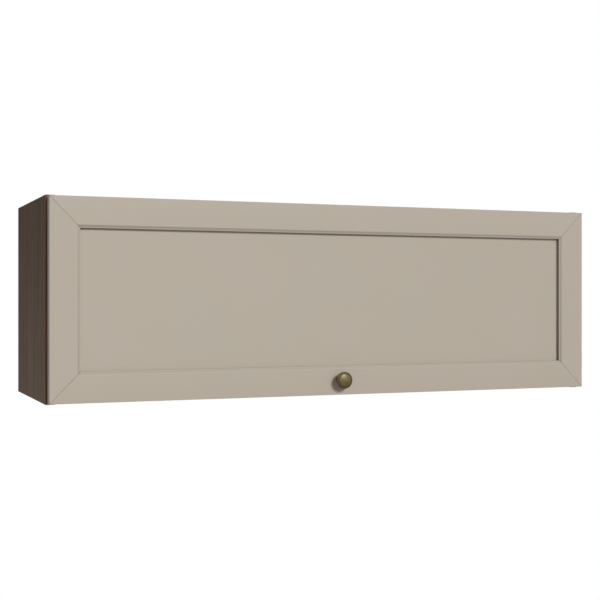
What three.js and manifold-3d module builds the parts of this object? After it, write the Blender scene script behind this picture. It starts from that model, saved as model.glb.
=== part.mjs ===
// Lift-up wall cabinet: a low, wide carcass with one framed flap door hinged along its top edge.
// Millimetres, +Z up. The wall is the plane Y = 0, the door faces -Y and +X is to the right.
// The origin is the middle of the upper hanging rail's rear face, which is screwed to the wall.

import * as THREE from 'three';
import * as BufferGeometryUtils from 'three/addons/utils/BufferGeometryUtils.js';
import Module from 'manifold-3d';

const wasm = await Module();
wasm.setup();

// ---- Driving dimensions ----

// Facets of round pieces, and how far a cutting tool runs past the piece it cuts
const rodSides = 16;
const pinSides = 12;
const discSides = 24;
const arcSteps = 4;            // in each round of an outline
const easeSteps = 4;           // in a rounded edge
const coveSteps = 3;           // in the hollow moulding
const past = 1;

const runningGap = 0.3;        // round one piece that turns, or is set, in another
const faceGap = 0.5;           // between plates that pass each other
const seatGap = 0.1;           // under a plate screwed on a bored face

// Carcass
const cabinetWidth = 1200;
const cabinetHeight = 398;
const carcassDepth = 350;      // from the wall to the front edges, without the door
const boardThickness = 18;
const boardEndInset = 1.5;     // top and bottom boards lie this far inside the sides' ends
const bandThickness = 1;       // band glued on each front edge
const backThickness = 3;
const backGrooveDepth = 6;
const railThickness = 15;      // hanging rails behind the back panel
const upperRailHeight = 80;
const lowerRailHeight = 60;
const wallHoleRadius = 3.5;
const wallHoleOffsets = [-450, -150, 150, 450];

// Corner fittings: a cam in the board's face draws in a bolt screwed to the side, beside a dowel
const camRadius = 7.5;
const camDepth = 12.5;
const camFromEnd = 34;         // from the board's end to the cam's centre
const camSlotWidth = 1.6;
const camSlotReach = 4.5;      // from the cam's centre to a slot's end
const boltRadius = 3;
const boltBite = 11;           // how far bolts and dowels enter the side panel
const dowelRadius = 4;
const dowelLength = 30;
const fittingFromEdge = 60;    // from a board's front or rear edge to its bolt
const dowelFromBolt = 32;

// Door
const doorThickness = 22;
const doorGap = 2.5;           // between the door and the carcass front
const doorSideInset = 3;       // door edge to the carcass's outer face
const doorEndInset = 2.75;
const frameFace = 54;          // flat face of the frame, from its outer edge
const coveWidth = 5.8;         // hollow moulding inside the flat face
const coveDepth = 4;           // how much deeper it ends
const coveBow = 0.09;          // how far the hollow bows from straight, in radians at each end
const frontEase = 1.5;         // rounding of the frame's outer edges, on the face
const rearEase = 3;            // and at the back, for the top edge to swing past the carcass
const panelRecess = 11.9;      // door face to the centre panel's face
const panelThickness = 6;
const panelGrooveDepth = 7;
const mitreGap = 0.3;          // fine open line at each mitred corner

// Knob
const knobRadius = 17;
const knobFootRadius = 11;     // disc on the door's face
const knobFootHeight = 1.2;
const knobNeckRadius = 5.8;
const knobFootHollow = 4.3;    // height of the hollow from the foot to the neck
const knobNeckFlare = 1;       // widening where the neck meets the head
const knobStemLength = 13;
const knobHeadBack = 4.4;      // from the neck to the head's straight edge
const knobRimWidth = 1.8;
const knobRimEase = 0.6;
const knobRingSlope = 3.2;     // rise of the ring inside the rim
const knobDomeRadius = 13;     // raised dome inside the ring
const knobDomeStep = 0.6;
const knobDomeBulge = 2;       // height of the dome itself
const knobGroove = 0.5;        // depth and width of the groove round the dome
const knobSides = 28;
const knobCurveSteps = 4;      // in each curve of its profiles
const knobFromBottom = 31.5;   // door's bottom edge to the knob's axis
const knobScrewRadius = 2;
const knobScrewHeadRadius = 4;
const knobScrewHeadHeight = 2;
const knobScrewBite = 10;

// Bumpers between the door and the sides' front edges
const bumperRadius = 4;
const bumperFromBottom = 25;

// Concealed hinges: a cup sunk in the door, turning on one pin in the tip of a goose-neck arm
const hingeEndDistance = 110;  // door edge to the outer hinges
const cupRadius = 17.5;
const cupWall = 0.9;
const cupFromEdge = 3;         // door's top edge to the cup's rim
const flangeThickness = 1;
const flangeMargin = 1.5;      // flange beyond the cup
const flangeEarReach = 30;
const flangeEarRadius = 6.5;
const cupScrewDrop = 6;        // ears' screws below the cup's centre
const cupScrewOffset = 24;
const hingePinRadius = 1.5;
const hingePinDepth = 9;       // door's rear face to the hinge pin
const armEyeRadius = 2.6;
const armTipWidth = 12;
const armNeck = 3.2;
const armWeb = 1.5;            // sheet thickness of the arm
const armWidth = 18.4;
const armSetback = 2.5;        // from the carcass front to the arm's side walls
const armLength = 66;
const plateHeight = 8;
const plateLength = 46;
const plateFromFront = 37;     // carcass front to the plate's screws
const plateWing = 2;
const plateWingReach = 27;
const plateWingRadius = 7;
const plateScrewOffset = 20;
const smallScrewRadius = 3.6;
const smallScrewHeight = 1.2;
const cupScrewHeight = 0.8;
const armScrews = [23, 53];    // from the arm's front end

// Lift unit on each side: lever, link, door and carcass form a parallelogram
const leverPivotBack = 80;     // hinge pin to the lever's pivot, towards the wall
const leverPivotDrop = 58;     // and downwards
const doorPivotBehind = 13;    // door's rear face to the link's pivot on the door bracket
const doorPivotDrop = 110;     // below the hinge pin
const basePlate = 2;
const unitFront = 28;          // base plate's reach round the lever's pivot
const unitRear = 70;
const unitTop = 34;
const unitBottom = 34;
const unitCorner = 9;
const coverMargin = 3;         // base plate beyond the cover
const coverWall = 1.6;
const coverDepth = 20;
const axleRadius = 4;
const hubRadius = 10;
const hubSetback = 2;          // base plate to the hub
const leverThickness = 4;
const leverRootRadius = 13;
const leverTipRadius = 8.5;
const linkThickness = 3.5;
const linkRadius = 7;
const linkPinRadius = 3;
const pinHeadExtra = 2;        // rivet heads beyond their pins
const pinHeadHeight = 1.4;
const springWireRadius = 1.5;
const springTurns = 4;
const springSteps = 12;        // facets in each turn
const springWireSides = 5;
const bracketPlate = 2.5;
const bracketWidth = 24;
const bracketHeight = 58;
const bracketEyeRadius = 8;
const bracketPinHead = 4.5;    // radius
const bracketScrewInset = 9;   // from each end of the bracket's foot
const unitScrewRadius = 4;
const unitTabReach = 10;       // tabs beyond the base plate's edges, above and below
const unitScrewReach = 5;      // screws beyond them
const unitScrewInset = 7;
const unitScrewHeight = 1.5;

// ---- Places worked out from them ----

const innerHalf = cabinetWidth / 2 - boardThickness;
const ceiling = upperRailHeight / 2;                    // underside of the top board
const carcassTop = ceiling + boardThickness + boardEndInset;
const carcassBottom = carcassTop - cabinetHeight;
const floor = carcassBottom + boardEndInset + boardThickness;   // upper face of the bottom board
const carcassFront = -carcassDepth;
const boardFront = carcassFront + bandThickness;        // boards end where their bands start

const doorWidth = cabinetWidth - 2 * doorSideInset;
const doorHeight = cabinetHeight - 2 * doorEndInset;
const doorRear = carcassFront - doorGap;
const doorFront = doorRear - doorThickness;
const doorTop = carcassTop - doorEndInset;
const doorBottom = carcassBottom + doorEndInset;
const doorMiddle = (doorTop + doorBottom) / 2;
const frameWidth = frameFace + coveWidth;

// The pin lies as near the cup's rim as the width of the arm's tip allows
const cupZ = doorTop - cupFromEdge - cupRadius;
const cupBore = cupRadius - cupWall;
const cupDepth = hingePinDepth + armEyeRadius + faceGap + cupWall;
const pinAboveCup = Math.sqrt((cupBore - runningGap) ** 2 - (armTipWidth / 2) ** 2) - armEyeRadius;
const axisY = doorRear - hingePinDepth;
const axisZ = cupZ + pinAboveCup;
const hingeOffsets = {
  left: -(doorWidth / 2 - hingeEndDistance),
  middle: 0,
  right: doorWidth / 2 - hingeEndDistance,
};

// Turning centres of the lift unit, as [y, z]; the lever is as long as hinge pin to door bracket
const doorPivot = [doorRear + doorPivotBehind, axisZ - doorPivotDrop];
const leverPivot = [axisY + leverPivotBack, axisZ - leverPivotDrop];
const leverTip = [
  leverPivot[0] + doorPivot[0] - axisY,
  leverPivot[1] + doorPivot[1] - axisZ,
];

// ---- Materials ----

function finish(color, roughness, metalness = 0) {
  return new THREE.MeshStandardMaterial({ color, roughness, metalness });
}

const walnut = () => finish(0x4a3e35, 0.6);
const bandWood = () => finish(0x3a281c, 0.5);
const backBoard = () => finish(0x51453b, 0.7);
const railWood = () => finish(0x51453b, 0.7);
const lacquer = () => finish(0xb6ada0, 0.45);
const nickel = () => finish(0xb9b9b6, 0.3, 1);
const zinc = () => finish(0xa9abab, 0.4, 1);
const greyPlastic = () => finish(0x8d8f90, 0.55);
const springSteel = () => finish(0x55575a, 0.35, 1);
const beech = () => finish(0xc9a777, 0.8);
const antiqueBrass = () => finish(0x6a6140, 0.4, 1);
const clearRubber = () => finish(0xcfcfca, 0.5);

// ---- Solids ----


// Merges the shared corners of a closed geometry and makes a solid of it
function solid(geometry) {
  const bare = geometry.clone();
  bare.deleteAttribute('normal');
  bare.deleteAttribute('uv');
  const merged = BufferGeometryUtils.mergeVertices(bare, 1e-4);
  return new wasm.Manifold(new wasm.Mesh({
    numProp: 3,
    vertProperties: new Float32Array(merged.attributes.position.array),
    triVerts: new Uint32Array(merged.index.array),
  }));
}

function joined(...geometries) {
  return surface(geometries.map(solid).reduce((whole, piece) => whole.add(piece)));
}

function cut(geometry, ...tools) {
  return surface(tools.map(solid).reduce((rest, tool) => rest.subtract(tool), solid(geometry)));
}

function surface(body) {
  const mesh = body.getMesh();
  const corners = new Float32Array((mesh.vertProperties.length / mesh.numProp) * 3);
  for (let corner = 0; corner < corners.length / 3; corner++) {
    for (let axis = 0; axis < 3; axis++) {
      corners[corner * 3 + axis] = mesh.vertProperties[corner * mesh.numProp + axis];
    }
  }
  const geometry = new THREE.BufferGeometry();
  geometry.setAttribute('position', new THREE.BufferAttribute(corners, 3));
  geometry.setIndex(new THREE.BufferAttribute(new Uint32Array(mesh.triVerts), 1));
  const faceted = geometry.toNonIndexed();
  faceted.computeVertexNormals();
  return faceted;
}

function box([x0, x1], [y0, y1], [z0, z1]) {
  const block = new THREE.BoxGeometry(Math.abs(x1 - x0), Math.abs(y1 - y0), Math.abs(z1 - z0));
  return block.translate((x0 + x1) / 2, (y0 + y1) / 2, (z0 + z1) / 2);
}

function rodX([y, z], radius, [x0, x1], sides = rodSides) {
  const rod = new THREE.CylinderGeometry(radius, radius, Math.abs(x1 - x0), sides);
  return rod.rotateZ(Math.PI / 2).translate((x0 + x1) / 2, y, z);
}

function rodY([x, z], radius, [y0, y1], sides = rodSides) {
  const rod = new THREE.CylinderGeometry(radius, radius, Math.abs(y1 - y0), sides);
  return rod.translate(x, (y0 + y1) / 2, z);
}

function rodZ([x, y], radius, [z0, z1], sides = rodSides) {
  const rod = new THREE.CylinderGeometry(radius, radius, Math.abs(z1 - z0), sides);
  return rod.rotateX(Math.PI / 2).translate(x, y, (z0 + z1) / 2);
}

// An outline drawn in Y and Z, as thick as its span in X
function plateX(outline, [x0, x1]) {
  const plate = new THREE.ExtrudeGeometry(outline, {
    depth: Math.abs(x1 - x0), bevelEnabled: false, curveSegments: arcSteps,
  });
  const turn = new THREE.Matrix4().makeBasis(
    new THREE.Vector3(0, 1, 0), new THREE.Vector3(0, 0, 1), new THREE.Vector3(1, 0, 0));
  return plate.applyMatrix4(turn).translate(Math.min(x0, x1), 0, 0);
}

// An outline drawn in X and Z, as thick as its span in Y
function plateY(outline, [y0, y1]) {
  const plate = new THREE.ExtrudeGeometry(outline, {
    depth: Math.abs(y1 - y0), bevelEnabled: false, curveSegments: arcSteps,
  });
  return plate.rotateX(Math.PI / 2).translate(0, Math.max(y0, y1), 0);
}

// An outline drawn in X and Y, as thick as its span in Z
function plateZ(outline, [z0, z1]) {
  const plate = new THREE.ExtrudeGeometry(outline, {
    depth: Math.abs(z1 - z0), bevelEnabled: false, curveSegments: arcSteps,
  });
  return plate.translate(0, 0, Math.min(z0, z1));
}

function polygon(points) {
  return new THREE.Shape(points.map(([a, b]) => new THREE.Vector2(a, b)));
}

function roundedRectangle([a0, a1], [b0, b1], radius) {
  const outline = new THREE.Shape();
  outline.absarc(a1 - radius, b1 - radius, radius, 0, Math.PI / 2);
  outline.absarc(a0 + radius, b1 - radius, radius, Math.PI / 2, Math.PI);
  outline.absarc(a0 + radius, b0 + radius, radius, Math.PI, 1.5 * Math.PI);
  outline.absarc(a1 - radius, b0 + radius, radius, 1.5 * Math.PI, 2 * Math.PI);
  return outline;
}

// A bar with round ends about two centres, tapering from the first radius to the second
function taperedBar(from, to, fromRadius, toRadius) {
  const run = Math.hypot(to[0] - from[0], to[1] - from[1]);
  const heading = Math.atan2(to[1] - from[1], to[0] - from[0]);
  const splay = Math.acos((fromRadius - toRadius) / run);
  const outline = new THREE.Shape();
  outline.absarc(to[0], to[1], toRadius, heading - splay, heading + splay);
  outline.absarc(from[0], from[1], fromRadius, heading + splay, heading - splay + 2 * Math.PI);
  return outline;
}

// ---- Placing ----

const cabinet = new THREE.Group();

function place(name, geometry, material, parent = cabinet) {
  const mesh = new THREE.Mesh(geometry, material);
  mesh.name = name;
  parent.add(mesh);
  return mesh;
}

const sides = { left: -1, right: 1 };
const boards = { top: ceiling, bottom: floor - boardThickness };   // lower face of each board
const rows = {
  front: { bolt: carcassFront + fittingFromEdge, dowel: carcassFront + fittingFromEdge + dowelFromBolt },
  rear: { bolt: -fittingFromEdge, dowel: -fittingFromEdge - dowelFromBolt },
};

// ---- Carcass ----

const sideHeight = [carcassBottom, carcassTop];
const backFace = -railThickness;                       // the back panel leans on the rails
const backGroove = [backFace - backThickness - runningGap, backFace];
const grooveReach = backGrooveDepth + runningGap;

function fittingHoles(side, board) {
  const middle = boards[board] + boardThickness / 2;
  const face = side * innerHalf;
  const bite = side * (innerHalf + boltBite + runningGap);
  return Object.values(rows).map(({ bolt, dowel }) => ({
    boltInSide: rodX([bolt, middle], boltRadius + runningGap, [face, bite], pinSides),
    dowelInSide: rodX([dowel, middle], dowelRadius + runningGap, [face, bite], pinSides),
    boltInBoard: rodX([bolt, middle], boltRadius + runningGap,
      [face, side * (innerHalf - camFromEnd)], pinSides),
    dowelInBoard: rodX([dowel, middle], dowelRadius + runningGap,
      [face, side * (innerHalf - dowelLength + boltBite - runningGap)], pinSides),
    cam: rodZ([side * (innerHalf - camFromEnd), bolt], camRadius + runningGap,
      [boards[board] + boardThickness - camDepth - runningGap, boards[board] + boardThickness]),
  }));
}

function makeSidePanel(name) {
  const side = sides[name];
  const thickness = [side * innerHalf, side * cabinetWidth / 2];
  const holes = Object.keys(boards).flatMap((board) => fittingHoles(side, board));
  const groove = box([side * innerHalf, side * (innerHalf + grooveReach)], backGroove,
    [floor - grooveReach, ceiling + grooveReach]);
  const panel = cut(box(thickness, [boardFront, 0], sideHeight), groove,
    ...holes.flatMap((hole) => [hole.boltInSide, hole.dowelInSide]));
  place(`${name}_side_panel`, panel, walnut());
  place(`${name}_side_edge_band`, box(thickness, [carcassFront, boardFront], sideHeight), bandWood());
}

function makeBoard(name) {
  const height = [boards[name], boards[name] + boardThickness];
  const span = [-innerHalf, innerHalf];
  const holes = Object.values(sides).flatMap((side) => fittingHoles(side, name));
  const inside = name === 'top' ? [ceiling, ceiling + grooveReach] : [floor - grooveReach, floor];
  const board = cut(box(span, [boardFront, 0], height), box(span, backGroove, inside),
    ...holes.flatMap((hole) => [hole.boltInBoard, hole.dowelInBoard, hole.cam]));
  place(`${name}_board`, board, walnut());
  place(`${name}_edge_band`, box(span, [carcassFront, boardFront], height), bandWood());
}

// Cam and bolt are drawn tight, so they are one solid: a slotted disc and the bolt's shank
function makeFittings(board, name) {
  const side = sides[name];
  const upperFace = boards[board] + boardThickness;
  const middle = boards[board] + boardThickness / 2;
  const camX = side * (innerHalf - camFromEnd);
  for (const [row, { bolt, dowel }] of Object.entries(rows)) {
    const shank = rodX([bolt, middle], boltRadius, [camX, side * (innerHalf + boltBite)],
      pinSides);
    const disc = rodZ([camX, bolt], camRadius, [upperFace - camDepth, upperFace]);
    const slot = [upperFace - camSlotWidth, upperFace + past];
    const cross = [
      box([camX - camSlotReach, camX + camSlotReach],
        [bolt - camSlotWidth / 2, bolt + camSlotWidth / 2], slot),
      box([camX - camSlotWidth / 2, camX + camSlotWidth / 2],
        [bolt - camSlotReach, bolt + camSlotReach], slot),
    ];
    place(`${board}_${name}_${row}_cam_fitting`, cut(joined(disc, shank), ...cross), zinc());
    const dowelSpan = [side * (innerHalf + boltBite), side * (innerHalf + boltBite - dowelLength)];
    const peg = rodX([dowel, middle], dowelRadius, dowelSpan, pinSides);
    place(`${board}_${name}_${row}_dowel`, peg, beech());
  }
}

function makeBackAndRails() {
  const wallHoles = () => wallHoleOffsets.map((x) => rodY([x, 0], wallHoleRadius,
    [backGroove[0] - past, past], pinSides));
  const reach = innerHalf + backGrooveDepth;
  const back = box([-reach, reach], [backFace - backThickness, backFace],
    [floor - backGrooveDepth, ceiling + backGrooveDepth]);
  place('back_panel', cut(back, ...wallHoles()), backBoard());
  const span = [-innerHalf, innerHalf];
  const upper = box(span, [backFace, 0], [ceiling - upperRailHeight, ceiling]);
  place('upper_hanging_rail', cut(upper, ...wallHoles()), railWood());
  place('lower_rail', box(span, [backFace, 0], [floor, floor + lowerRailHeight]), railWood());
}

for (const name of Object.keys(sides)) makeSidePanel(name);
for (const name of Object.keys(boards)) makeBoard(name);
makeBackAndRails();
for (const board of Object.keys(boards)) {
  for (const name of Object.keys(sides)) makeFittings(board, name);
}

// ---- Door ----

// Section of the frame: u runs inwards from the door's edge, v back from its face
function frameSection() {
  const section = [];
  for (let step = 0; step <= easeSteps; step++) {      // front outer edge
    const turn = (step / easeSteps) * Math.PI / 2;
    section.push([frontEase * (1 - Math.sin(turn)), frontEase * (1 - Math.cos(turn))]);
  }
  for (let step = 0; step <= easeSteps; step++) {      // rear outer edge
    const turn = (step / easeSteps) * Math.PI / 2;
    section.push([rearEase * (1 - Math.cos(turn)), doorThickness - rearEase * (1 - Math.sin(turn))]);
  }
  const grooveFront = panelRecess - runningGap;
  const grooveRear = panelRecess + panelThickness + runningGap;
  section.push(
    [frameWidth, doorThickness],
    [frameWidth, grooveRear],
    [frameWidth - panelGrooveDepth, grooveRear],
    [frameWidth - panelGrooveDepth, grooveFront],
    [frameWidth, grooveFront],
    ...coveProfile(),
  );
  return section;
}

// The hollow moulding, from the frame's inner edge back to its flat face: steep where it leaves
// the face and flatter towards the panel
function coveProfile() {
  const chord = Math.hypot(coveWidth, coveDepth);
  const slope = Math.atan2(coveDepth, coveWidth);
  const arcRadius = chord / 2 / Math.sin(coveBow);
  const points = [];
  for (let step = 0; step <= coveSteps; step++) {
    const turn = slope - coveBow + (2 * coveBow * step) / coveSteps;
    const along = arcRadius * (Math.sin(slope + coveBow) - Math.sin(turn));
    const down = arcRadius * (Math.cos(turn) - Math.cos(slope + coveBow));
    points.push([frameFace + along, down]);
  }
  return points;
}

// A frame member lying along X, its outer edge at Z = 0, its face at Y = 0, both ends mitred
function mitredMember(length) {
  const section = frameSection();
  if (THREE.ShapeUtils.area(section.map(([u, v]) => new THREE.Vector2(u, v))) < 0) section.reverse();
  const flat = section.map(([u, v]) => new THREE.Vector2(u, v));
  const caps = THREE.ShapeUtils.triangulateShape(flat, []);
  const count = section.length;
  const corners = [];
  for (const end of [-1, 1]) {
    for (const [u, v] of section) {
      corners.push(end * (length / 2 - u - mitreGap * Math.SQRT1_2), v, -u);
    }
  }
  const faces = [];
  for (let i = 0; i < count; i++) {
    const next = (i + 1) % count;
    faces.push(i, next, count + next, i, count + next, count + i);
  }
  for (const [a, b, c] of caps) {
    faces.push(c, b, a, count + a, count + b, count + c);
  }
  const member = new THREE.BufferGeometry();
  member.setAttribute('position', new THREE.Float32BufferAttribute(corners, 3));
  member.setIndex(faces);
  return outwards(member);
}

// Turns every face over where the volume comes out negative
function outwards(geometry) {
  const points = geometry.attributes.position;
  const index = geometry.index.array;
  const [a, b, c] = [new THREE.Vector3(), new THREE.Vector3(), new THREE.Vector3()];
  let volume = 0;
  for (let i = 0; i < index.length; i += 3) {
    a.fromBufferAttribute(points, index[i]);
    b.fromBufferAttribute(points, index[i + 1]);
    c.fromBufferAttribute(points, index[i + 2]);
    volume += a.dot(b.cross(c));
  }
  if (volume < 0) {
    for (let i = 0; i < index.length; i += 3) {
      [index[i + 1], index[i + 2]] = [index[i + 2], index[i + 1]];
    }
  }
  return geometry;
}

function placeMember(name, geometry, position, turn) {
  const member = place(name, geometry, lacquer());
  member.position.set(...position);
  member.rotation.y = turn;
}

function makeDoorFrame() {
  const rim = cupRadius + runningGap;
  const cupHoles = Object.values(hingeOffsets).map((x) => rodY([x, cupZ - doorTop], rim,
    [doorThickness - cupDepth - runningGap, doorThickness], discSides));
  const screwHole = rodY([0, -knobFromBottom], knobScrewRadius + runningGap,
    [-past, doorThickness + past]);
  const topRail = cut(mitredMember(doorWidth), ...cupHoles);
  const bottomRail = cut(mitredMember(doorWidth), screwHole);
  placeMember('door_top_rail', topRail, [0, doorFront, doorTop], 0);
  placeMember('door_bottom_rail', bottomRail, [0, doorFront, doorBottom], Math.PI);
  placeMember('door_left_stile', surface(solid(mitredMember(doorHeight))),
    [-doorWidth / 2, doorFront, doorMiddle], -Math.PI / 2);
  placeMember('door_right_stile', surface(solid(mitredMember(doorHeight))),
    [doorWidth / 2, doorFront, doorMiddle], Math.PI / 2);
}

function makeDoorPanel() {
  const inset = frameWidth - panelGrooveDepth + faceGap;
  const front = doorFront + panelRecess;
  place('door_centre_panel', box([-doorWidth / 2 + inset, doorWidth / 2 - inset],
    [front, front + panelThickness], [doorBottom + inset, doorTop - inset]), lacquer());
}

// Turned shape standing out of the door's face; the profile is [radius, height]
function turnedKnobPiece(profile, z) {
  const points = profile.map(([r, h]) => new THREE.Vector2(r, h));
  return new THREE.LatheGeometry(points, knobSides).rotateX(Math.PI).translate(0, doorFront, z);
}

// Quarter of an ellipse between two places of a profile: it leaves the first straight across and
// meets the second along the axis
function sweep([fromRadius, fromHeight], [toRadius, toHeight]) {
  return Array.from({ length: knobCurveSteps + 1 }, (_, step) => {
    const turn = (step / knobCurveSteps) * Math.PI / 2;
    return [fromRadius + (toRadius - fromRadius) * Math.sin(turn),
      toHeight + (fromHeight - toHeight) * Math.cos(turn)];
  });
}

function stemProfile() {
  return [
    [0, 0], [knobFootRadius, 0],
    ...sweep([knobFootRadius, knobFootHeight], [knobNeckRadius, knobFootHeight + knobFootHollow]),
    [knobNeckRadius, knobStemLength - knobNeckFlare],
    [knobNeckRadius + knobNeckFlare, knobStemLength], [0, knobStemLength],
  ];
}

function headProfile() {
  const rimStart = knobStemLength + knobHeadBack;
  const rimEnd = rimStart + knobRimWidth;
  const domeFoot = rimEnd + knobRingSlope;
  const domeEdge = domeFoot + knobDomeStep;
  const dome = Array.from({ length: knobCurveSteps }, (_, step) => {
    const share = 1 - (step + 1) / knobCurveSteps;
    return [(knobDomeRadius - knobGroove) * share, domeEdge + knobDomeBulge * (1 - share ** 2)];
  });
  return [
    [0, knobStemLength],
    ...sweep([knobNeckRadius + knobNeckFlare, knobStemLength], [knobRadius, rimStart]),
    [knobRadius, rimEnd], [knobRadius - knobRimEase, rimEnd + knobRimEase],
    [knobDomeRadius + knobGroove, domeFoot], [knobDomeRadius, domeFoot - knobGroove],
    [knobDomeRadius - knobGroove, domeEdge],
    ...dome,
  ];
}

function makeKnob() {
  const z = doorBottom + knobFromBottom;
  const bore = rodY([0, z], knobScrewRadius + runningGap,
    [doorFront - knobScrewBite - runningGap, doorFront], pinSides);
  place('knob_stem', cut(turnedKnobPiece(stemProfile(), z), bore), antiqueBrass());
  place('knob_head', surface(solid(turnedKnobPiece(headProfile(), z))), antiqueBrass());
  const shank = rodY([0, z], knobScrewRadius, [doorFront - knobScrewBite, doorRear], pinSides);
  const head = rodY([0, z], knobScrewHeadRadius, [doorRear, doorRear + knobScrewHeadHeight]);
  place('knob_screw', joined(shank, head), zinc());
}

function makeBumpers() {
  for (const [name, side] of Object.entries(sides)) {
    const x = side * (cabinetWidth / 2 - (boardThickness + doorSideInset) / 2);
    place(`${name}_bumper`, rodY([x, doorBottom + bumperFromBottom], bumperRadius,
      [doorRear, carcassFront - runningGap]), clearRubber());
  }
}

makeDoorFrame();
makeDoorPanel();
makeKnob();
makeBumpers();

// ---- Hinges ----

function makeHingeCup(name, x) {
  const flangeFront = doorRear + seatGap;
  const flangeBack = flangeFront + flangeThickness;
  const cup = cut(rodY([x, cupZ], cupRadius, [flangeFront, flangeFront - cupDepth], discSides),
    rodY([x, cupZ], cupBore, [flangeFront + past, flangeFront - cupDepth + cupWall], discSides));
  const earZ = cupZ - cupScrewDrop;
  const ring = rodY([x, cupZ], cupRadius + flangeMargin, [flangeFront, flangeBack], discSides);
  const ears = plateY(roundedRectangle([x - flangeEarReach, x + flangeEarReach],
    [earZ - flangeEarRadius, earZ + flangeEarRadius], flangeEarRadius - runningGap),
  [flangeFront, flangeBack]);
  // the flange stops short of the door's top edge, so that it swings past the top board
  const swingRoom = Math.sqrt((doorGap + hingePinDepth - faceGap) ** 2
    - (hingePinDepth + seatGap + flangeThickness) ** 2);
  const trim = box([x - flangeEarReach, x + flangeEarReach], [doorRear, flangeBack + past],
    [axisZ + swingRoom, doorTop]);
  const flange = cut(joined(ring, ears), trim,
    rodY([x, cupZ], cupBore, [doorRear - past, flangeBack + past], discSides));
  const wallMiddle = (cupRadius - cupWall / 2) * Math.cos(Math.PI / discSides);
  const pinHalf = Math.sqrt(wallMiddle ** 2 - (pinAboveCup + hingePinRadius) ** 2);
  const pin = rodX([axisY, axisZ], hingePinRadius, [x - pinHalf, x + pinHalf], pinSides);
  const screws = [-1, 1].map((side) => rodY([x + side * cupScrewOffset, earZ], smallScrewRadius,
    [flangeBack, flangeBack + cupScrewHeight], pinSides));
  place(`${name}_hinge_cup`, joined(cup, flange, pin, ...screws), nickel());
}

function makeHingeArm(name, x) {
  const webTop = ceiling - plateHeight - runningGap;
  const webBottom = webTop - armWeb;
  const wallTop = ceiling - plateWing - faceGap;
  const bodyStart = carcassFront + armSetback;
  const bodyEnd = bodyStart + armLength;
  const tip = [x - armTipWidth / 2, x + armTipWidth / 2];
  const neck = plateX(polygon([
    [axisY - armNeck / 2, axisZ], [axisY - armNeck / 2, webBottom + armWeb],
    [axisY, webBottom], [bodyStart + armWeb, webBottom], [bodyStart + armWeb, webTop],
    [axisY + armNeck, webTop], [axisY + armNeck / 2, webTop + armWeb], [axisY + armNeck / 2, axisZ],
  ]), tip);
  const eye = rodX([axisY, axisZ], armEyeRadius, tip);
  const web = box([x - armWidth / 2, x + armWidth / 2], [bodyStart, bodyEnd], [webBottom, webTop]);
  const walls = [-1, 1].map((side) => box(
    [x + side * armWidth / 2, x + side * (armWidth / 2 - armWeb)], [bodyStart, bodyEnd],
    [webBottom, wallTop]));
  const screws = armScrews.map((back) => rodZ([x, bodyStart + back],
    smallScrewRadius, [webBottom - smallScrewHeight, webBottom + armWeb / 2], pinSides));
  const bore = rodX([axisY, axisZ], hingePinRadius + runningGap, [tip[0] - past, tip[1] + past], pinSides);
  place(`${name}_hinge_arm`, cut(joined(neck, eye, web, ...walls, ...screws), bore), nickel());
}

function makeHingePlate(name, x) {
  const screwY = carcassFront + plateFromFront;
  const half = armWidth / 2 - armWeb - runningGap;
  const block = box([x - half, x + half], [screwY - plateLength / 2, screwY + plateLength / 2],
    [ceiling - plateHeight, ceiling]);
  const wing = plateZ(roundedRectangle([x - plateWingReach, x + plateWingReach],
    [screwY - plateWingRadius, screwY + plateWingRadius], plateWingRadius - runningGap),
  [ceiling - plateWing, ceiling]);
  const screws = [-1, 1].map((side) => rodZ([x + side * plateScrewOffset, screwY], smallScrewRadius,
    [ceiling - plateWing - smallScrewHeight, ceiling - plateWing / 2], pinSides));
  place(`${name}_hinge_plate`, joined(block, wing, ...screws), nickel());
}

for (const [name, x] of Object.entries(hingeOffsets)) {
  makeHingeCup(name, x);
  makeHingeArm(name, x);
  makeHingePlate(name, x);
}

// ---- Lift units ----

// Layers of a lift unit, counted inwards from the side panel's inner face
const coverTop = basePlate + coverDepth;
const leverLayer = [coverTop + 2 * faceGap, coverTop + 2 * faceGap + leverThickness];
const linkLayer = [leverLayer[1] + faceGap, leverLayer[1] + faceGap + linkThickness];
const bracketLayer = [linkLayer[1] + faceGap, linkLayer[1] + faceGap + bracketPlate];

function layers(side, [outer, inner]) {
  return [side * (innerHalf - outer), side * (innerHalf - inner)];
}

function makeLiftBase(name, side) {
  const [y, z] = leverPivot;
  const reachY = [y - unitFront, y + unitRear];
  const reachZ = [z - unitBottom, z + unitTop];
  const plate = plateX(roundedRectangle(reachY, reachZ, unitCorner), layers(side, [0, basePlate]));
  const tabs = plateX(roundedRectangle([reachY[0] + unitCorner, reachY[1] - unitCorner],
    [reachZ[0] - unitTabReach, reachZ[1] + unitTabReach], unitScrewRadius), layers(side, [0, basePlate]));
  const axle = rodX(leverPivot, axleRadius, layers(side, [basePlate / 2, leverLayer[1] + faceGap]));
  const cap = rodX(leverPivot, axleRadius + pinHeadExtra,
    layers(side, [leverLayer[1] + runningGap, leverLayer[1] + runningGap + pinHeadHeight]));
  const screws = [];
  const inset = unitCorner + unitScrewInset;
  for (const screwY of [reachY[0] + inset, reachY[1] - inset]) {
    for (const screwZ of [reachZ[0] - unitScrewReach, reachZ[1] + unitScrewReach]) {
      screws.push(rodX([screwY, screwZ], unitScrewRadius,
        layers(side, [basePlate / 2, basePlate + unitScrewHeight]), pinSides));
    }
  }
  place(`${name}_lift_base`, joined(plate, tabs, axle, cap, ...screws), zinc());
}

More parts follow.
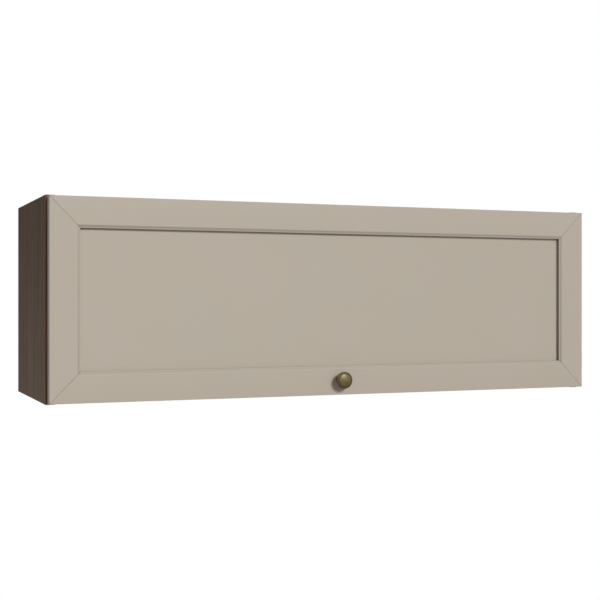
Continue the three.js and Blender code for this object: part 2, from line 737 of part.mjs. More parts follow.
function makeLiftCover(name, side) {
  const [y, z] = leverPivot;
  const outline = (inset) => roundedRectangle(
    [y - unitFront + inset, y + unitRear - inset],
    [z - unitBottom + inset, z + unitTop - inset], unitCorner - inset / 2);
  const shell = plateX(outline(coverMargin), layers(side, [basePlate, coverTop]));
  const hollow = plateX(outline(coverMargin + coverWall),
    layers(side, [basePlate - past, coverTop - coverWall]));
  const hubHole = rodX(leverPivot, hubRadius + runningGap * 2,
    layers(side, [basePlate, coverTop + past]), discSides);
  place(`${name}_lift_cover`, cut(shell, hollow, hubHole), greyPlastic());
}

// Torsion spring wound round the lever's hub
function makeLiftSpring(name, side) {
  const room = coverDepth - coverWall - 2 * runningGap - 2 * springWireRadius;
  const pitch = room / springTurns;
  const coilRadius = hubRadius + runningGap + springWireRadius;
  const around = springWireSides;
  const start = basePlate + runningGap + springWireRadius;
  const rings = springTurns * springSteps;
  const corners = [];
  for (let ring = 0; ring <= rings; ring++) {
    const turn = (ring / springSteps) * 2 * Math.PI;
    const depth = start + (pitch * ring) / springSteps;
    for (let i = 0; i < around; i++) {
      const roll = (i / around) * 2 * Math.PI;
      const radius = coilRadius + springWireRadius * Math.cos(roll);
      corners.push(side * (innerHalf - depth - springWireRadius * Math.sin(roll)),
        leverPivot[0] + radius * Math.cos(turn), leverPivot[1] + radius * Math.sin(turn));
    }
  }
  const faces = [];
  for (let ring = 0; ring < rings; ring++) {
    for (let i = 0; i < around; i++) {
      const [a, b] = [ring * around + i, ring * around + ((i + 1) % around)];
      faces.push(a, b, b + around, a, b + around, a + around);
    }
  }
  for (let i = 1; i < around - 1; i++) {
    faces.push(0, i + 1, i);
    faces.push(rings * around, rings * around + i, rings * around + i + 1);
  }
  const coil = new THREE.BufferGeometry();
  coil.setAttribute('position', new THREE.Float32BufferAttribute(corners, 3));
  coil.setIndex(faces);
  place(`${name}_lift_spring`, surface(solid(outwards(coil))), springSteel());
}

function makeLiftLever(name, side) {
  const blade = plateX(taperedBar(leverPivot, leverTip, leverRootRadius, leverTipRadius),
    layers(side, leverLayer));
  const hub = rodX(leverPivot, hubRadius, layers(side, [basePlate + hubSetback, leverLayer[1]]), discSides);
  const stud = rodX(leverTip, linkPinRadius, layers(side, [leverLayer[0], linkLayer[1] + faceGap]));
  const head = rodX(leverTip, linkPinRadius + pinHeadExtra,
    layers(side, [linkLayer[1] + runningGap, linkLayer[1] + runningGap + pinHeadHeight]));
  const bore = rodX(leverPivot, axleRadius + runningGap,
    layers(side, [basePlate, leverLayer[1] + past]));
  place(`${name}_lift_lever`, cut(joined(blade, hub, stud, head), bore), nickel());
}

function makeLiftLink(name, side) {
  const bar = plateX(taperedBar(doorPivot, leverTip, linkRadius, linkRadius), layers(side, linkLayer));
  const depth = [linkLayer[0] - past, linkLayer[1] + past];
  const bores = [doorPivot, leverTip].map((centre) =>
    rodX(centre, linkPinRadius + runningGap, layers(side, depth)));
  place(`${name}_lift_link`, cut(bar, ...bores), nickel());
}

function makeDoorBracket(name, side) {
  const [y, z] = doorPivot;
  const height = [z - bracketHeight / 2, z + bracketHeight / 2];
  const middle = innerHalf - (bracketLayer[0] + bracketLayer[1]) / 2;
  const foot = box([side * (middle - bracketWidth / 2), side * (middle + bracketWidth / 2)],
    [doorRear, doorRear + bracketPlate], height);
  const ear = plateX(taperedBar([doorRear + bracketEyeRadius, z], [y, z], bracketEyeRadius,
    bracketEyeRadius - runningGap), layers(side, bracketLayer));
  const pin = rodX(doorPivot, linkPinRadius,
    layers(side, [linkLayer[0] - faceGap, bracketLayer[1]]));
  const head = rodX(doorPivot, bracketPinHead,
    layers(side, [linkLayer[0] - runningGap, linkLayer[0] - runningGap - pinHeadHeight]));
  const heads = [doorRear + bracketPlate / 2, doorRear + bracketPlate + unitScrewHeight];
  const screws = [height[0] + bracketScrewInset, height[1] - bracketScrewInset].map((screwZ) =>
    rodY([side * middle, screwZ], unitScrewRadius, heads, pinSides));
  place(`${name}_door_bracket`, joined(foot, ear, pin, head, ...screws), zinc());
}

for (const [name, side] of Object.entries(sides)) {
  makeLiftBase(name, side);
  makeLiftCover(name, side);
  makeLiftSpring(name, side);
  makeLiftLever(name, side);
  makeLiftLink(name, side);
  makeDoorBracket(name, side);
}

export default cabinet;
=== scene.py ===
import math

import bmesh
import bpy
from mathutils import Matrix, Vector


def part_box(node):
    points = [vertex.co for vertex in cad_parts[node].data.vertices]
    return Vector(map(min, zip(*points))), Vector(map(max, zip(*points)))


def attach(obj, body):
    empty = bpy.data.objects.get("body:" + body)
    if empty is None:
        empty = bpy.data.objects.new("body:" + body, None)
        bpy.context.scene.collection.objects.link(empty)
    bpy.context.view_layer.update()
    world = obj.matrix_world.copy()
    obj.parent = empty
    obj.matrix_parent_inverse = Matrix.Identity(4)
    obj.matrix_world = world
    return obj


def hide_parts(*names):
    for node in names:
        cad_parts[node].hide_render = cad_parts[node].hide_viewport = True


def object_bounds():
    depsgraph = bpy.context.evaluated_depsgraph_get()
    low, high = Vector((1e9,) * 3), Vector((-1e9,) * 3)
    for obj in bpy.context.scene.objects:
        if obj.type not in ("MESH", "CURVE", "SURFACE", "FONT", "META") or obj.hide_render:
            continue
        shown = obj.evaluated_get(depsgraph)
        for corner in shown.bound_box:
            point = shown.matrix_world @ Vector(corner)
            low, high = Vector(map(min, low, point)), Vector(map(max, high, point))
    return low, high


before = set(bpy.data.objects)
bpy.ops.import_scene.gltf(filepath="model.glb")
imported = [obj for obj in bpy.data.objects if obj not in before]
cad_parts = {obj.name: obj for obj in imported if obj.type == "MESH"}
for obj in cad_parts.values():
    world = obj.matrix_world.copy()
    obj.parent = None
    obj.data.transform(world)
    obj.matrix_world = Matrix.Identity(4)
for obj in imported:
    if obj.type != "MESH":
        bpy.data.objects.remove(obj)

# Lift-up wall cabinet: the wall is Y = 0, the door faces -Y and +X is to the right.
# The room and the finishes are in metres; shapes are drawn in millimetres.
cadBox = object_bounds()


def newObject(name, data):
    thing = bpy.data.objects.new(name, data)
    bpy.context.collection.objects.link(thing)
    return thing


def camel(name):
    # left_lift_base becomes leftLiftBase
    first, *others = name.split("_")
    return first + "".join(word.capitalize() for word in others)


# Camera, placed from the vanishing points of the door and the side panel

photoView = {
    "place": (-0.9655, -2.5355, -0.1400),
    "turn": 22.0325,        # degrees to the right of square on
    "lens": 68.69,
    "sensor": 36.0,
    "farthest": 60.0,
}


def makeCamera():
    data = bpy.data.cameras.new("photoCamera")
    data.lens = photoView["lens"]
    data.sensor_width = photoView["sensor"]
    data.clip_end = photoView["farthest"]
    camera = newObject("photoCamera", data)
    camera.location = photoView["place"]
    camera.rotation_euler = (math.pi / 2, 0, -math.radians(photoView["turn"]))
    bpy.context.scene.camera = camera


makeCamera()
print("camera placed")


# Node trees

def addNode(tree, kind, inputs=None, **settings):
    node = tree.nodes.new("ShaderNode" + kind)
    for key, value in settings.items():
        setattr(node, key, value)
    for key, value in (inputs or {}).items():
        if isinstance(value, bpy.types.NodeSocket):
            tree.links.new(value, node.inputs[key])
        else:
            node.inputs[key].default_value = value
    return node


def colour(red, green, blue):
    # a screen colour, 0 to 255, as the linear colour that shaders take
    shares = (red / 255, green / 255, blue / 255)
    linear = [s / 12.92 if s <= 0.04045 else ((s + 0.055) / 1.055) ** 2.4 for s in shares]
    return (*linear, 1)


def mixed(tree, share, first, second, way="MIX"):
    node = addNode(tree, "Mix", {0: share, 6: first, 7: second}, data_type="RGBA", blend_type=way)
    return node.outputs[2]


def maths(tree, operation, first, second=0.0, third=0.0):
    return addNode(tree, "Math", {0: first, 1: second, 2: third}, operation=operation).outputs[0]


def product(tree, first, *others):
    for other in others:
        first = maths(tree, "MULTIPLY", first, other)
    return first


def objectPlace(tree, scale):
    place = addNode(tree, "TexCoord").outputs["Object"]
    return addNode(tree, "Mapping", {"Vector": place, "Scale": scale}).outputs["Vector"]


def along(tree, axis):
    # where a point lies along X, Y or Z
    place = addNode(tree, "TexCoord").outputs["Object"]
    return addNode(tree, "SeparateXYZ", {0: place}).outputs[axis]


def within(tree, axis, middle, reach):
    # 1 up to the reach on both sides of the middle, 0 beyond
    return maths(tree, "COMPARE", along(tree, axis), middle, reach)


def fade(tree, value, start, end, low=0.0, high=1.0):
    # runs from low at the start to high at the end, and stays there beyond
    return addNode(tree, "MapRange", {0: value, 1: start, 2: end, 3: low, 4: high}).outputs[0]


def toned(tree, mask, tone):
    # the tone where the mask is 1, and 1 where it is 0
    return fade(tree, mask, 0, 1, 1, tone)


def noise(tree, place, scale, detail, roughness):
    inputs = {"Vector": place, "Scale": scale, "Detail": detail, "Roughness": roughness}
    return addNode(tree, "TexNoise", inputs).outputs["Fac"]


def ramp(tree, value, *stops):
    node = addNode(tree, "ValToRGB", {"Fac": value})
    elements = node.color_ramp.elements
    while len(elements) < len(stops):
        elements.new(0.5)
    for element, (at, tone) in zip(elements, stops):
        element.position = at
        element.color = tone if isinstance(tone, tuple) else (tone, tone, tone, 1)
    return node.outputs["Color"]


def bump(tree, height, strength, depth):
    node = addNode(tree, "Bump", {"Height": height, "Strength": strength, "Distance": depth})
    return node.outputs["Normal"]


def newFinish(name, fixed):
    material = bpy.data.materials.new(name)
    material.use_nodes = True
    shader = material.node_tree.nodes["Principled BSDF"]
    for key, value in fixed.items():
        shader.inputs[key].default_value = value
    return material, material.node_tree, shader


def feed(tree, shader, sockets):
    for key, socket in sockets.items():
        tree.links.new(socket, shader.inputs[key])


# Room: white all round, a pale floor far below the cabinet, one large soft lamp and its fill

studio = {
    "ambient": 0.30,
    "floorDrop": 1.40,         # from the cabinet's underside
    "floorRadius": 2.15,
    "floorMiddle": -0.2,       # Y
    "floorPaint": (0.80, 0.80, 0.79, 1),
    "floorGlow": 0.42,         # added where the camera sees it
    "lamps": {                 # from where, how strong, and degrees across
        "keyLamp": ((0.22, -1.0, 0.44), 2.27, 16.0),
        "fillLamp": ((0.30, 0.94, 0.16), 0.9, 40.0),
    },
}


def backgroundRay(tree):
    # 1 for what the camera sees directly, in a gloss or through something clear
    path = addNode(tree, "LightPath").outputs
    seen = maths(tree, "MAXIMUM", path["Is Camera Ray"], path["Is Transmission Ray"])
    return maths(tree, "MAXIMUM", seen, path["Is Glossy Ray"])


def makeWorld():
    world = bpy.data.worlds.new("studioWorld")
    world.use_nodes = True
    tree = world.node_tree
    tree.nodes.clear()
    soft = addNode(tree, "Background", {"Color": (1, 1, 1, 1), "Strength": studio["ambient"]})
    white = addNode(tree, "Background", {"Color": (1, 1, 1, 1), "Strength": 1.0})
    mix = addNode(tree, "MixShader", {0: backgroundRay(tree), 1: soft.outputs[0], 2: white.outputs[0]})
    addNode(tree, "OutputWorld", {"Surface": mix.outputs[0]})
    bpy.context.scene.world = world


def meshFrom(shape, name):
    mesh = bpy.data.meshes.new(name)
    shape.to_mesh(mesh)
    shape.free()
    return mesh


def makeFloor():
    shape = bmesh.new()
    bmesh.ops.create_circle(shape, cap_ends=True, segments=96, radius=studio["floorRadius"])
    floor = newObject("paleFloor", meshFrom(shape, "paleFloor"))
    floor.location = (0, studio["floorMiddle"], cadBox[0].z - studio["floorDrop"])
    material = bpy.data.materials.new("paleFloor")
    material.use_nodes = True
    tree = material.node_tree
    tree.nodes.clear()
    paint = addNode(tree, "BsdfDiffuse", {"Color": studio["floorPaint"]})
    glow = addNode(tree, "Emission", {"Color": (1, 1, 1, 1), "Strength": studio["floorGlow"]})
    seen = addNode(tree, "AddShader", {0: paint.outputs[0], 1: glow.outputs[0]})
    mix = addNode(tree, "MixShader", {0: backgroundRay(tree), 1: paint.outputs[0], 2: seen.outputs[0]})
    addNode(tree, "OutputMaterial", {"Surface": mix.outputs[0]})
    floor.data.materials.append(material)


def makeSun(name, origin, strength, across):
    data = bpy.data.lights.new(name, "SUN")
    data.energy = strength
    data.angle = math.radians(across)
    newObject(name, data).rotation_euler = Vector(origin).to_track_quat("Z", "Y").to_euler()


makeWorld()
makeFloor()
for lampName, lampValues in studio["lamps"].items():
    makeSun(lampName, *lampValues)
bpy.context.scene.view_settings.view_transform = "Standard"
print("studio lit")


# Finishes

# A finish has its fixed sockets, a figure for its tint, a sheen for its gloss and a skin for its relief.
# Figure, sheen and skin are noises: scale, detail, roughness. Sheen and skin are the figure if not given.
# Tint and gloss are ramp stops, relief is strength and depth, and grain is the share of each axis that
# the noises keep, small along the fibres.

lacquer = {     # satin foil pressed on the door: an even tone with a very fine skin, and painted light and shade by place
    "fixed": {"Specular IOR Level": 0.15},
    "figure": (5, 3, 0.5),
    "tint": ((0.35, colour(180.4, 172.0, 157.4)), (0.5, colour(181.4, 171.8, 157.8)),
             (0.65, colour(182.4, 172.0, 158.4))),
    "sheen": (60, 2, 0.5),
    "gloss": ((0.3, 0.50), (0.7, 0.56)),
    "skin": (900, 1, 0.5),
    "relief": (0.05, 0.0003),
    "drift": (-0.6, 0.6, 0.988, 0.962),         # painted light falloff: X from edge to edge, and the share of the tone there
    "rise": (-0.336, 0.057, 0.992, 1.009),      # painted light: the same for Z, a little brighter towards the top
    "recess": (-0.36705, 0.00355),              # Y of the walls round the panel: middle, half depth
    "recessReach": (0.5385, -0.1395, 0.1378),   # half width, then middle and half height
    # painted shade on the recess walls
    "recessTone": 0.62,
    "panelFace": (-0.3633, 0.0004),             # Y, and how far from it a point still lies on it
    "panelRim": (0.003, 0.020, 1.038),          # painted light on the panel's rim: its start and end from the wall, and its tone
    "doorEnd": (0.5965, 0.77),                  # X beyond which its end faces lie, and the painted shade on them
    "mouldings": (("X", (-0.5450, -0.5434, -0.5390, -0.5374), 0.925),     # left and lower: place, and tone of the painted shade
                  ("Z", (-0.2812, -0.2799, -0.2764, -0.2752), 0.962)),
    "mouldingSpare": 0.003,                     # its length beyond the recess
}


def recessTone(tree):
    # painted shade on the frame's inner walls, between the moulding and the panel
    halfWidth, middle, halfHeight = lacquer["recessReach"]
    mask = product(tree, within(tree, "Y", *lacquer["recess"]), within(tree, "X", 0, halfWidth),
                   within(tree, "Z", middle, halfHeight))
    return toned(tree, mask, lacquer["recessTone"])


def paintedPanelLight(tree):
    # painted light: a little above 1 on the panel's rim, where the frame keeps some of the room's light
    # away
    halfWidth, middle, halfHeight = lacquer["recessReach"]
    near, far, tone = lacquer["panelRim"]
    across = maths(tree, "SUBTRACT", halfWidth, maths(tree, "ABSOLUTE", along(tree, "X")))
    height = maths(tree, "SUBTRACT", along(tree, "Z"), middle)
    upright = maths(tree, "SUBTRACT", halfHeight, maths(tree, "ABSOLUTE", height))
    rim = fade(tree, maths(tree, "MINIMUM", across, upright), near, far, tone, 1)
    return toned(tree, within(tree, "Y", *lacquer["panelFace"]), rim)


def paintedMouldingShade(tree):
    # painted shade: a little below 1 along the left and the lower moulding
    halfWidth, middle, halfHeight = lacquer["recessReach"]
    spare = lacquer["mouldingSpare"]
    lengths = {"X": ("Z", middle, halfHeight + spare), "Z": ("X", 0, halfWidth + spare)}
    tones = []
    for axis, (start, full, end, none), tone in lacquer["mouldings"]:
        place = along(tree, axis)
        strip = product(tree, fade(tree, place, start, full), fade(tree, place, none, end),
                        within(tree, *lengths[axis]))
        tones.append(toned(tree, strip, tone))
    return product(tree, *tones)


def paintedEndShade(tree):
    # painted shade on the upright end faces
    end, tone = lacquer["doorEnd"]
    return fade(tree, within(tree, "X", 0, end), 0, 1, tone, 1)


def shadedLacquer(tree, tint):
    # painted light and shade: a falloff across the door and a rise up it, painted shade on the recess
    # walls, mouldings and end faces, painted light on the panel's rim
    drift = fade(tree, along(tree, "X"), *lacquer["drift"])
    rise = fade(tree, along(tree, "Z"), *lacquer["rise"])
    shade = product(tree, recessTone(tree), drift, rise, paintedPanelLight(tree), paintedMouldingShade(tree),
                    paintedEndShade(tree))
    return mixed(tree, 1.0, tint, shade, "MULTIPLY")


brass = {       # aged and waxed, with painted light and shade by place
    "fixed": {"Metallic": 1.0, "Coat Weight": 0.45, "Coat Roughness": 0.30},
    "figure": (420, 4, 0.65),
    "tint": ((0.35, colour(80, 70, 35)), (0.52, colour(98, 87, 49)), (0.75, colour(114, 103, 66))),
    "gloss": ((0.35, 0.66), (0.7, 0.56)),
    "skin": (1400, 2, 0.5),
    "relief": (0.15, 0.0002),
    "wax": colour(78, 44, 27),     # wax patina in the groove, and painted shade on the neck under the head
    "axis": {"X": 0.0, "Z": -0.30475},
    "neck": (-0.3880, -0.3850),    # Y where the painted shade and wax on the neck start and are full
    "groove": (0.0128, 0.0133, 0.0138, 0.0143),    # radii: dark ring starts, is full, fades, ends
    "grooveFront": -0.3955,        # Y behind which there is no ring
    "grooveShare": 0.40,
    "rim": (0.0138, 0.0150, 1.0, 0.74),     # radii where a painted shade darkens the tone towards the rim
    "wear": (-0.0150, 0.0100, 0.62, 1.0),   # painted light, from the dark underside to the bright top
    "wearTurn": 104,               # degrees from +X, the way the painted light rises
}


def brassOffset(tree, axis):
    return maths(tree, "SUBTRACT", along(tree, axis), brass["axis"][axis])


def brassRadius(tree):
    across = maths(tree, "POWER", brassOffset(tree, "X"), 2.0)
    upright = maths(tree, "POWER", brassOffset(tree, "Z"), 2.0)
    return maths(tree, "SQRT", maths(tree, "ADD", across, upright))


def brassWaxAndShade(tree):
    # 1 where the dark colour goes: painted shade and wax on the neck, wax patina in the groove about the
    #                               dome
    neck = fade(tree, along(tree, "Y"), *brass["neck"])
    radius = brassRadius(tree)
    start, full, end, none = brass["groove"]
    front = maths(tree, "LESS_THAN", along(tree, "Y"), brass["grooveFront"])
    groove = product(tree, fade(tree, radius, start, full), fade(tree, radius, none, end), front,
                     brass["grooveShare"])
    return maths(tree, "MAXIMUM", neck, groove)


def brassPaintedLight(tree):
    turn = math.radians(brass["wearTurn"])
    across = maths(tree, "MULTIPLY", brassOffset(tree, "X"), math.cos(turn))
    place = maths(tree, "MULTIPLY_ADD", brassOffset(tree, "Z"), math.sin(turn), across)
    return fade(tree, place, *brass["wear"])


def waxedAndShadedBrass(tree, tint):
    # painted light brighter towards the top, painted shade towards the rim, then wax patina and painted
    # shade in the hollows
    tint = mixed(tree, 1.0, tint, brassPaintedLight(tree), "MULTIPLY")
    tint = mixed(tree, 1.0, tint, fade(tree, brassRadius(tree), *brass["rim"]), "MULTIPLY")
    return mixed(tree, brassWaxAndShade(tree), tint, brass["wax"])


walnut = {      # printed board
    "fixed": {"Specular IOR Level": 0.02},
    "broad": (42, 2, 0.6),
    "streaks": (230, 3, 0.65),
    "shares": (0.55, 0.45),        # of these two in the figure
    "spread": 0.12,                # from the middle tone to the dark and the light one in it
    "tones": (colour(113, 93, 78), colour(128, 107, 91), colour(142, 120, 103)),
    "pores": (800, 1, 0.5),
    "poreStops": ((0.60, 0.0), (0.68, 1.0)),
    "poreTone": colour(95, 76, 62),
    "poreShare": 0.35,
    "gloss": ((0.35, 0.80), (0.65, 0.70)),
    "relief": (0.12, 0.0003),
}

sidePanel = {
    "spread": 0.19,                # as in walnut
    "ends": (-0.3385, 0.0595),     # Z, lower and upper
    "endTones": ((1.055, 1.14, 1.18, 1), (0.615, 0.615, 0.60, 1)),  # painted light: darker and redder to the top, brighter towards the bottom
    "depth": (-0.35, 0.0),         # Y, from the front edge to the back
    "bands": ((0.04, 1.0), (0.24, 0.90), (0.46, 1.0), (0.63, 0.91), (0.71, 0.97), (0.89, 0.89),
              (0.964, 0.90), (0.970, 0.68)),    # broad figure over the depth, and darker at the rear edge, as share and tone
    "endBand": (0.0009, 0.60),     # thickness and tone of the band on its ends
}


def sideFigure(tree, wood):
    # broad lengthwise bands, painted light fading darker upwards, and dark edge bands on the ends
    bottom, top = sidePanel["ends"]
    rise = mixed(tree, fade(tree, along(tree, "Z"), bottom, top), *sidePanel["endTones"])
    broad = ramp(tree, fade(tree, along(tree, "Y"), *sidePanel["depth"]), *sidePanel["bands"])
    thick, tone = sidePanel["endBand"]
    inner = within(tree, "Z", (bottom + top) / 2, (top - bottom) / 2 - thick)
    wood = mixed(tree, 1.0, wood, rise, "MULTIPLY")
    wood = mixed(tree, 1.0, wood, broad, "MULTIPLY")
    return mixed(tree, 1.0, wood, fade(tree, inner, 0, 1, tone, 1), "MULTIPLY")


def makeWalnut(name, grain, spread, figured=None):
    material, tree, shader = newFinish(name, walnut["fixed"])
    place = objectPlace(tree, grain)
    broad = noise(tree, place, *walnut["broad"])
    streaks = noise(tree, place, *walnut["streaks"])
    broadShare, streakShare = walnut["shares"]
    figure = maths(tree, "MULTIPLY_ADD", broad, broadShare, maths(tree, "MULTIPLY", streaks, streakShare))
    dark, middle, light = walnut["tones"]
    wood = ramp(tree, figure, (0.5 - spread, dark), (0.5, middle), (0.5 + spread, light))
    pores = ramp(tree, noise(tree, place, *walnut["pores"]), *walnut["poreStops"])
    wood = mixed(tree, maths(tree, "MULTIPLY", pores, walnut["poreShare"]), wood, walnut["poreTone"])
    if figured:
        wood = figured(tree, wood)
    feed(tree, shader, {"Base Color": wood, "Roughness": ramp(tree, streaks, *walnut["gloss"]),
                        "Normal": bump(tree, streaks, *walnut["relief"])})
    return material


steel = {
    "fixed": {"Metallic": 1.0},
    "figure": (150, 4, 0.6),
    "skin": (2600, 2, 0.5),
}

rawBoard = {    # back panel and rails
    "fixed": {"Specular IOR Level": 0.12},
    "figure": (120, 4, 0.6),
    "gloss": ((0.3, 0.72), (0.7, 0.64)),
    "relief": (0.10, 0.0003),
}

plainFinishes = {       # by the name that the CAD gives each, as in finishes
    "edge_band": {
        "fixed": {"Specular IOR Level": 0.15},
        "grain": (1, 1, 0.05),
        "figure": (260, 2, 0.5),
        "tint": ((0.4, colour(98, 70, 48)), (0.6, colour(116, 84, 60))),
        "sheen": (90, 2, 0.5),
        "gloss": ((0.3, 0.50), (0.7, 0.60)),
    },
    "back_board": {
        **rawBoard,
        "grain": (0.04, 1, 1),
        "tint": ((0.35, colour(104, 91, 81)), (0.65, colour(124, 109, 97))),
    },
    "rail_board": {
        **rawBoard,
        "grain": (0.03, 1, 1),
        "tint": ((0.35, colour(100, 87, 77)), (0.65, colour(120, 106, 94))),
    },
    "zinc_steel": {
        **steel,
        "tint": ((0.35, colour(176, 179, 180)), (0.65, colour(202, 204, 203))),
        "gloss": ((0.3, 0.42), (0.7, 0.30)),
        "relief": (0.12, 0.0001),
    },
    "nickel_steel": {
        **steel,
        "tint": ((0.35, colour(196, 194, 188)), (0.65, colour(214, 212, 206))),
        "gloss": ((0.3, 0.30), (0.7, 0.20)),
        "relief": (0.04, 0.0001),
    },
    "spring_steel": {
        **steel,
        "tint": ((0.35, colour(78, 80, 84)), (0.65, colour(104, 106, 110))),
        "gloss": ((0.3, 0.38), (0.7, 0.26)),
        "relief": (0.04, 0.0001),
    },
    "grey_plastic": {
        "fixed": {"Specular IOR Level": 0.4},
        "figure": (30, 2, 0.5),
        "tint": ((0.35, colour(150, 152, 152)), (0.65, colour(160, 162, 162))),
        "sheen": (1900, 2, 0.6),
        "gloss": ((0.35, 0.58), (0.65, 0.46)),
        "skin": (1900, 2, 0.6),
        "relief": (0.25, 0.0002),
    },
    "beech": {
        "fixed": {"Specular IOR Level": 0.2},
        "grain": (0.08, 1, 1),
        "figure": (700, 3, 0.6),
        "tint": ((0.35, colour(190, 156, 112)), (0.65, colour(212, 180, 134))),
        "gloss": ((0.35, 0.85), (0.65, 0.72)),
        "relief": (0.2, 0.0002),
    },
    "clear_rubber": {
        "fixed": {"Transmission Weight": 0.6, "IOR": 1.45, "Specular IOR Level": 0.4},
        "figure": (240, 2, 0.5),
        "tint": ((0.3, colour(214, 214, 208)), (0.7, colour(232, 232, 226))),
        "gloss": ((0.3, 0.30), (0.7, 0.42)),
    },
}


def makeFinish(name, recipe, shaded=None):
    # shaded changes the tint by place, painting light and shade into it
    material, tree, shader = newFinish(name, recipe["fixed"])
    place = objectPlace(tree, recipe.get("grain", (1, 1, 1)))
    figure = noise(tree, place, *recipe["figure"])
    sheen = noise(tree, place, *recipe["sheen"]) if "sheen" in recipe else figure
    tint = ramp(tree, figure, *recipe["tint"])
    if shaded:
        tint = shaded(tree, tint)
    sockets = {"Base Color": tint, "Roughness": ramp(tree, sheen, *recipe["gloss"])}
    if "relief" in recipe:
        skin = noise(tree, place, *recipe["skin"]) if "skin" in recipe else figure
        sockets["Normal"] = bump(tree, skin, *recipe["relief"])
    feed(tree, shader, sockets)
    return material


finishes = {
    "walnut_board": makeWalnut("walnutLevel", (0.03, 1, 1), walnut["spread"]),
    "door_lacquer": makeFinish("satinLacquer", lacquer, shadedLacquer),
    "antique_brass": makeFinish("agedBrass", brass, waxedAndShadedBrass),
}
for finishName, plainRecipe in plainFinishes.items():
    finishes[finishName] = makeFinish(camel(finishName), plainRecipe)
uprightWalnut = makeWalnut("walnutUpright", (1, 1, 0.03), sidePanel["spread"], sideFigure)
print("finishes made")


# Boards and dowels kept from the CAD, with their sharp edges softened

boardEdge = {       # metres and degrees
    "weld": 0.00001,
    "width": 0.0004,
    "rounds": 2,
    "angle": 40,
    "finishes": ("walnut_board", "edge_band", "back_board", "rail_board", "beech"),
}


def softenNode(node):
    weld = node.modifiers.new("weld", "WELD")
    weld.merge_threshold = boardEdge["weld"]
    soft = node.modifiers.new("soft", "BEVEL")
    soft.width = boardEdge["width"]
    soft.segments = boardEdge["rounds"]
    soft.limit_method = "ANGLE"
    soft.angle_limit = math.radians(boardEdge["angle"])


def finishNodes():
    for name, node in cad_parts.items():
        slots = node.material_slots
        own = slots[0].material.name if slots else ""
        if own in finishes:
            slots[0].material = uprightWalnut if "side_panel" in name else finishes[own]
        if own in boardEdge["finishes"]:
            softenNode(node)


finishNodes()
print("boards finished")


# Shaping, in millimetres

standing = {                # turns a shape drawn flat, its thickness along Z, to stand across an axis
    "x": Matrix(((0, 0, 1, 0), (1, 0, 0, 0), (0, 1, 0, 0), (0, 0, 0, 1))),
    "y": Matrix(((1, 0, 0, 0), (0, 0, -1, 0), (0, 1, 0, 0), (0, 0, 0, 1))),
    "z": Matrix.Identity(4),
}
mirror = Matrix.Scale(-1, 4, (1, 0, 0))
mm = 0.001
weldReach = 0.0005          # points closer than this are one


def settled(thing):
    # the mesh of an object with its modifiers, or of a curve
    bpy.context.view_layer.update()
    graph = bpy.context.evaluated_depsgraph_get()
    mesh = bpy.data.meshes.new_from_object(thing.evaluated_get(graph))
    bpy.data.objects.remove(thing)
    return mesh


def carved(mesh, *cutters):
    body = newObject("body", mesh)
    tools = [newObject("tool", cutter) for cutter in cutters]
    for tool in tools:
        cut = body.modifiers.new("cut", "BOOLEAN")
        cut.operation = "DIFFERENCE"
        cut.solver = "EXACT"
        cut.object = tool
    result = settled(body)
    for tool in tools:
        bpy.data.objects.remove(tool)
    return result


def together(*meshes):
    shape = bmesh.new()
    for mesh in meshes:
        shape.from_mesh(mesh)
    return meshFrom(shape, "together")


def welded(shape, name):
    # joins points that coincide and turns all faces outwards
    bmesh.ops.remove_doubles(shape, verts=shape.verts[:], dist=weldReach)
    bmesh.ops.recalc_face_normals(shape, faces=shape.faces[:])
    return meshFrom(shape, name)


def moved(mesh, matrix):
    copy = mesh.copy()
    copy.transform(matrix)
    if matrix.determinant() < 0:
        copy.flip_normals()
    return copy


def facing(direction, place):
    # moves a shape drawn up Z to stand on a place and point in a direction
    return Matrix.Translation(place) @ Vector(direction).to_track_quat("Z", "Y").to_matrix().to_4x4()


def turned(profile, direction, place, steps=48):
    # a shape turned about a line through a place; the profile is (radius, distance along the line)
    shape = bmesh.new()
    points = [shape.verts.new((radius, 0, height)) for radius, height in profile]
    edges = [shape.edges.new(pair) for pair in zip(points, points[1:])]
    bmesh.ops.spin(shape, geom=points + edges, axis=(0, 0, 1), cent=(0, 0, 0), angle=2 * math.pi,
                   steps=steps)
    mesh = welded(shape, "turned")
    mesh.transform(facing(direction, place))
    return mesh


def curveMesh(lines, closed, **settings):
    # the mesh of a curve through lines of points
    curve = bpy.data.curves.new("curve", "CURVE")
    for key, value in settings.items():
        setattr(curve, key, value)
    for line in lines:
        spline = curve.splines.new("POLY")
        spline.points.add(len(line) - 1)
        for point, place in zip(spline.points, line):
            point.co = (*place, 1)
        spline.use_cyclic_u = closed
    mesh = settled(newObject("curve", curve))
    bpy.data.curves.remove(curve)
    return mesh


def plate(loops, across, limits, edge=0.3, rounds=2):
    # a flat plate with rounded edges; the first loop is its outline, the others are holes
    low, high = sorted(limits)
    lines = [[(a, b, 0) for a, b in loop] for loop in loops]
    shape = bmesh.new()
    shape.from_mesh(curveMesh(lines, True, dimensions="2D", fill_mode="BOTH", offset=-edge,
                              extrude=(high - low) / 2 - edge, bevel_depth=edge,
                              bevel_resolution=rounds))
    mesh = welded(shape, "plate")
    middle = Vector([(low + high) / 2 if axis == across else 0 for axis in "xyz"])
    mesh.transform(Matrix.Translation(middle) @ standing[across])
    return mesh


def block(low, high, edge, rounds=2):
    shape = bmesh.new()
    bmesh.ops.create_cube(shape, size=1)
    for corner in shape.verts:
        corner.co = [(a + b) / 2 + c * abs(b - a) for a, b, c in zip(low, high, corner.co)]
    bmesh.ops.bevel(shape, geom=shape.edges[:], offset=edge, segments=rounds, profile=0.5, affect="EDGES")
    return meshFrom(shape, "block")


def wire(points, radius):
    return curveMesh([points], False, dimensions="3D", bevel_depth=radius, bevel_resolution=3,
                     use_fill_caps=True)


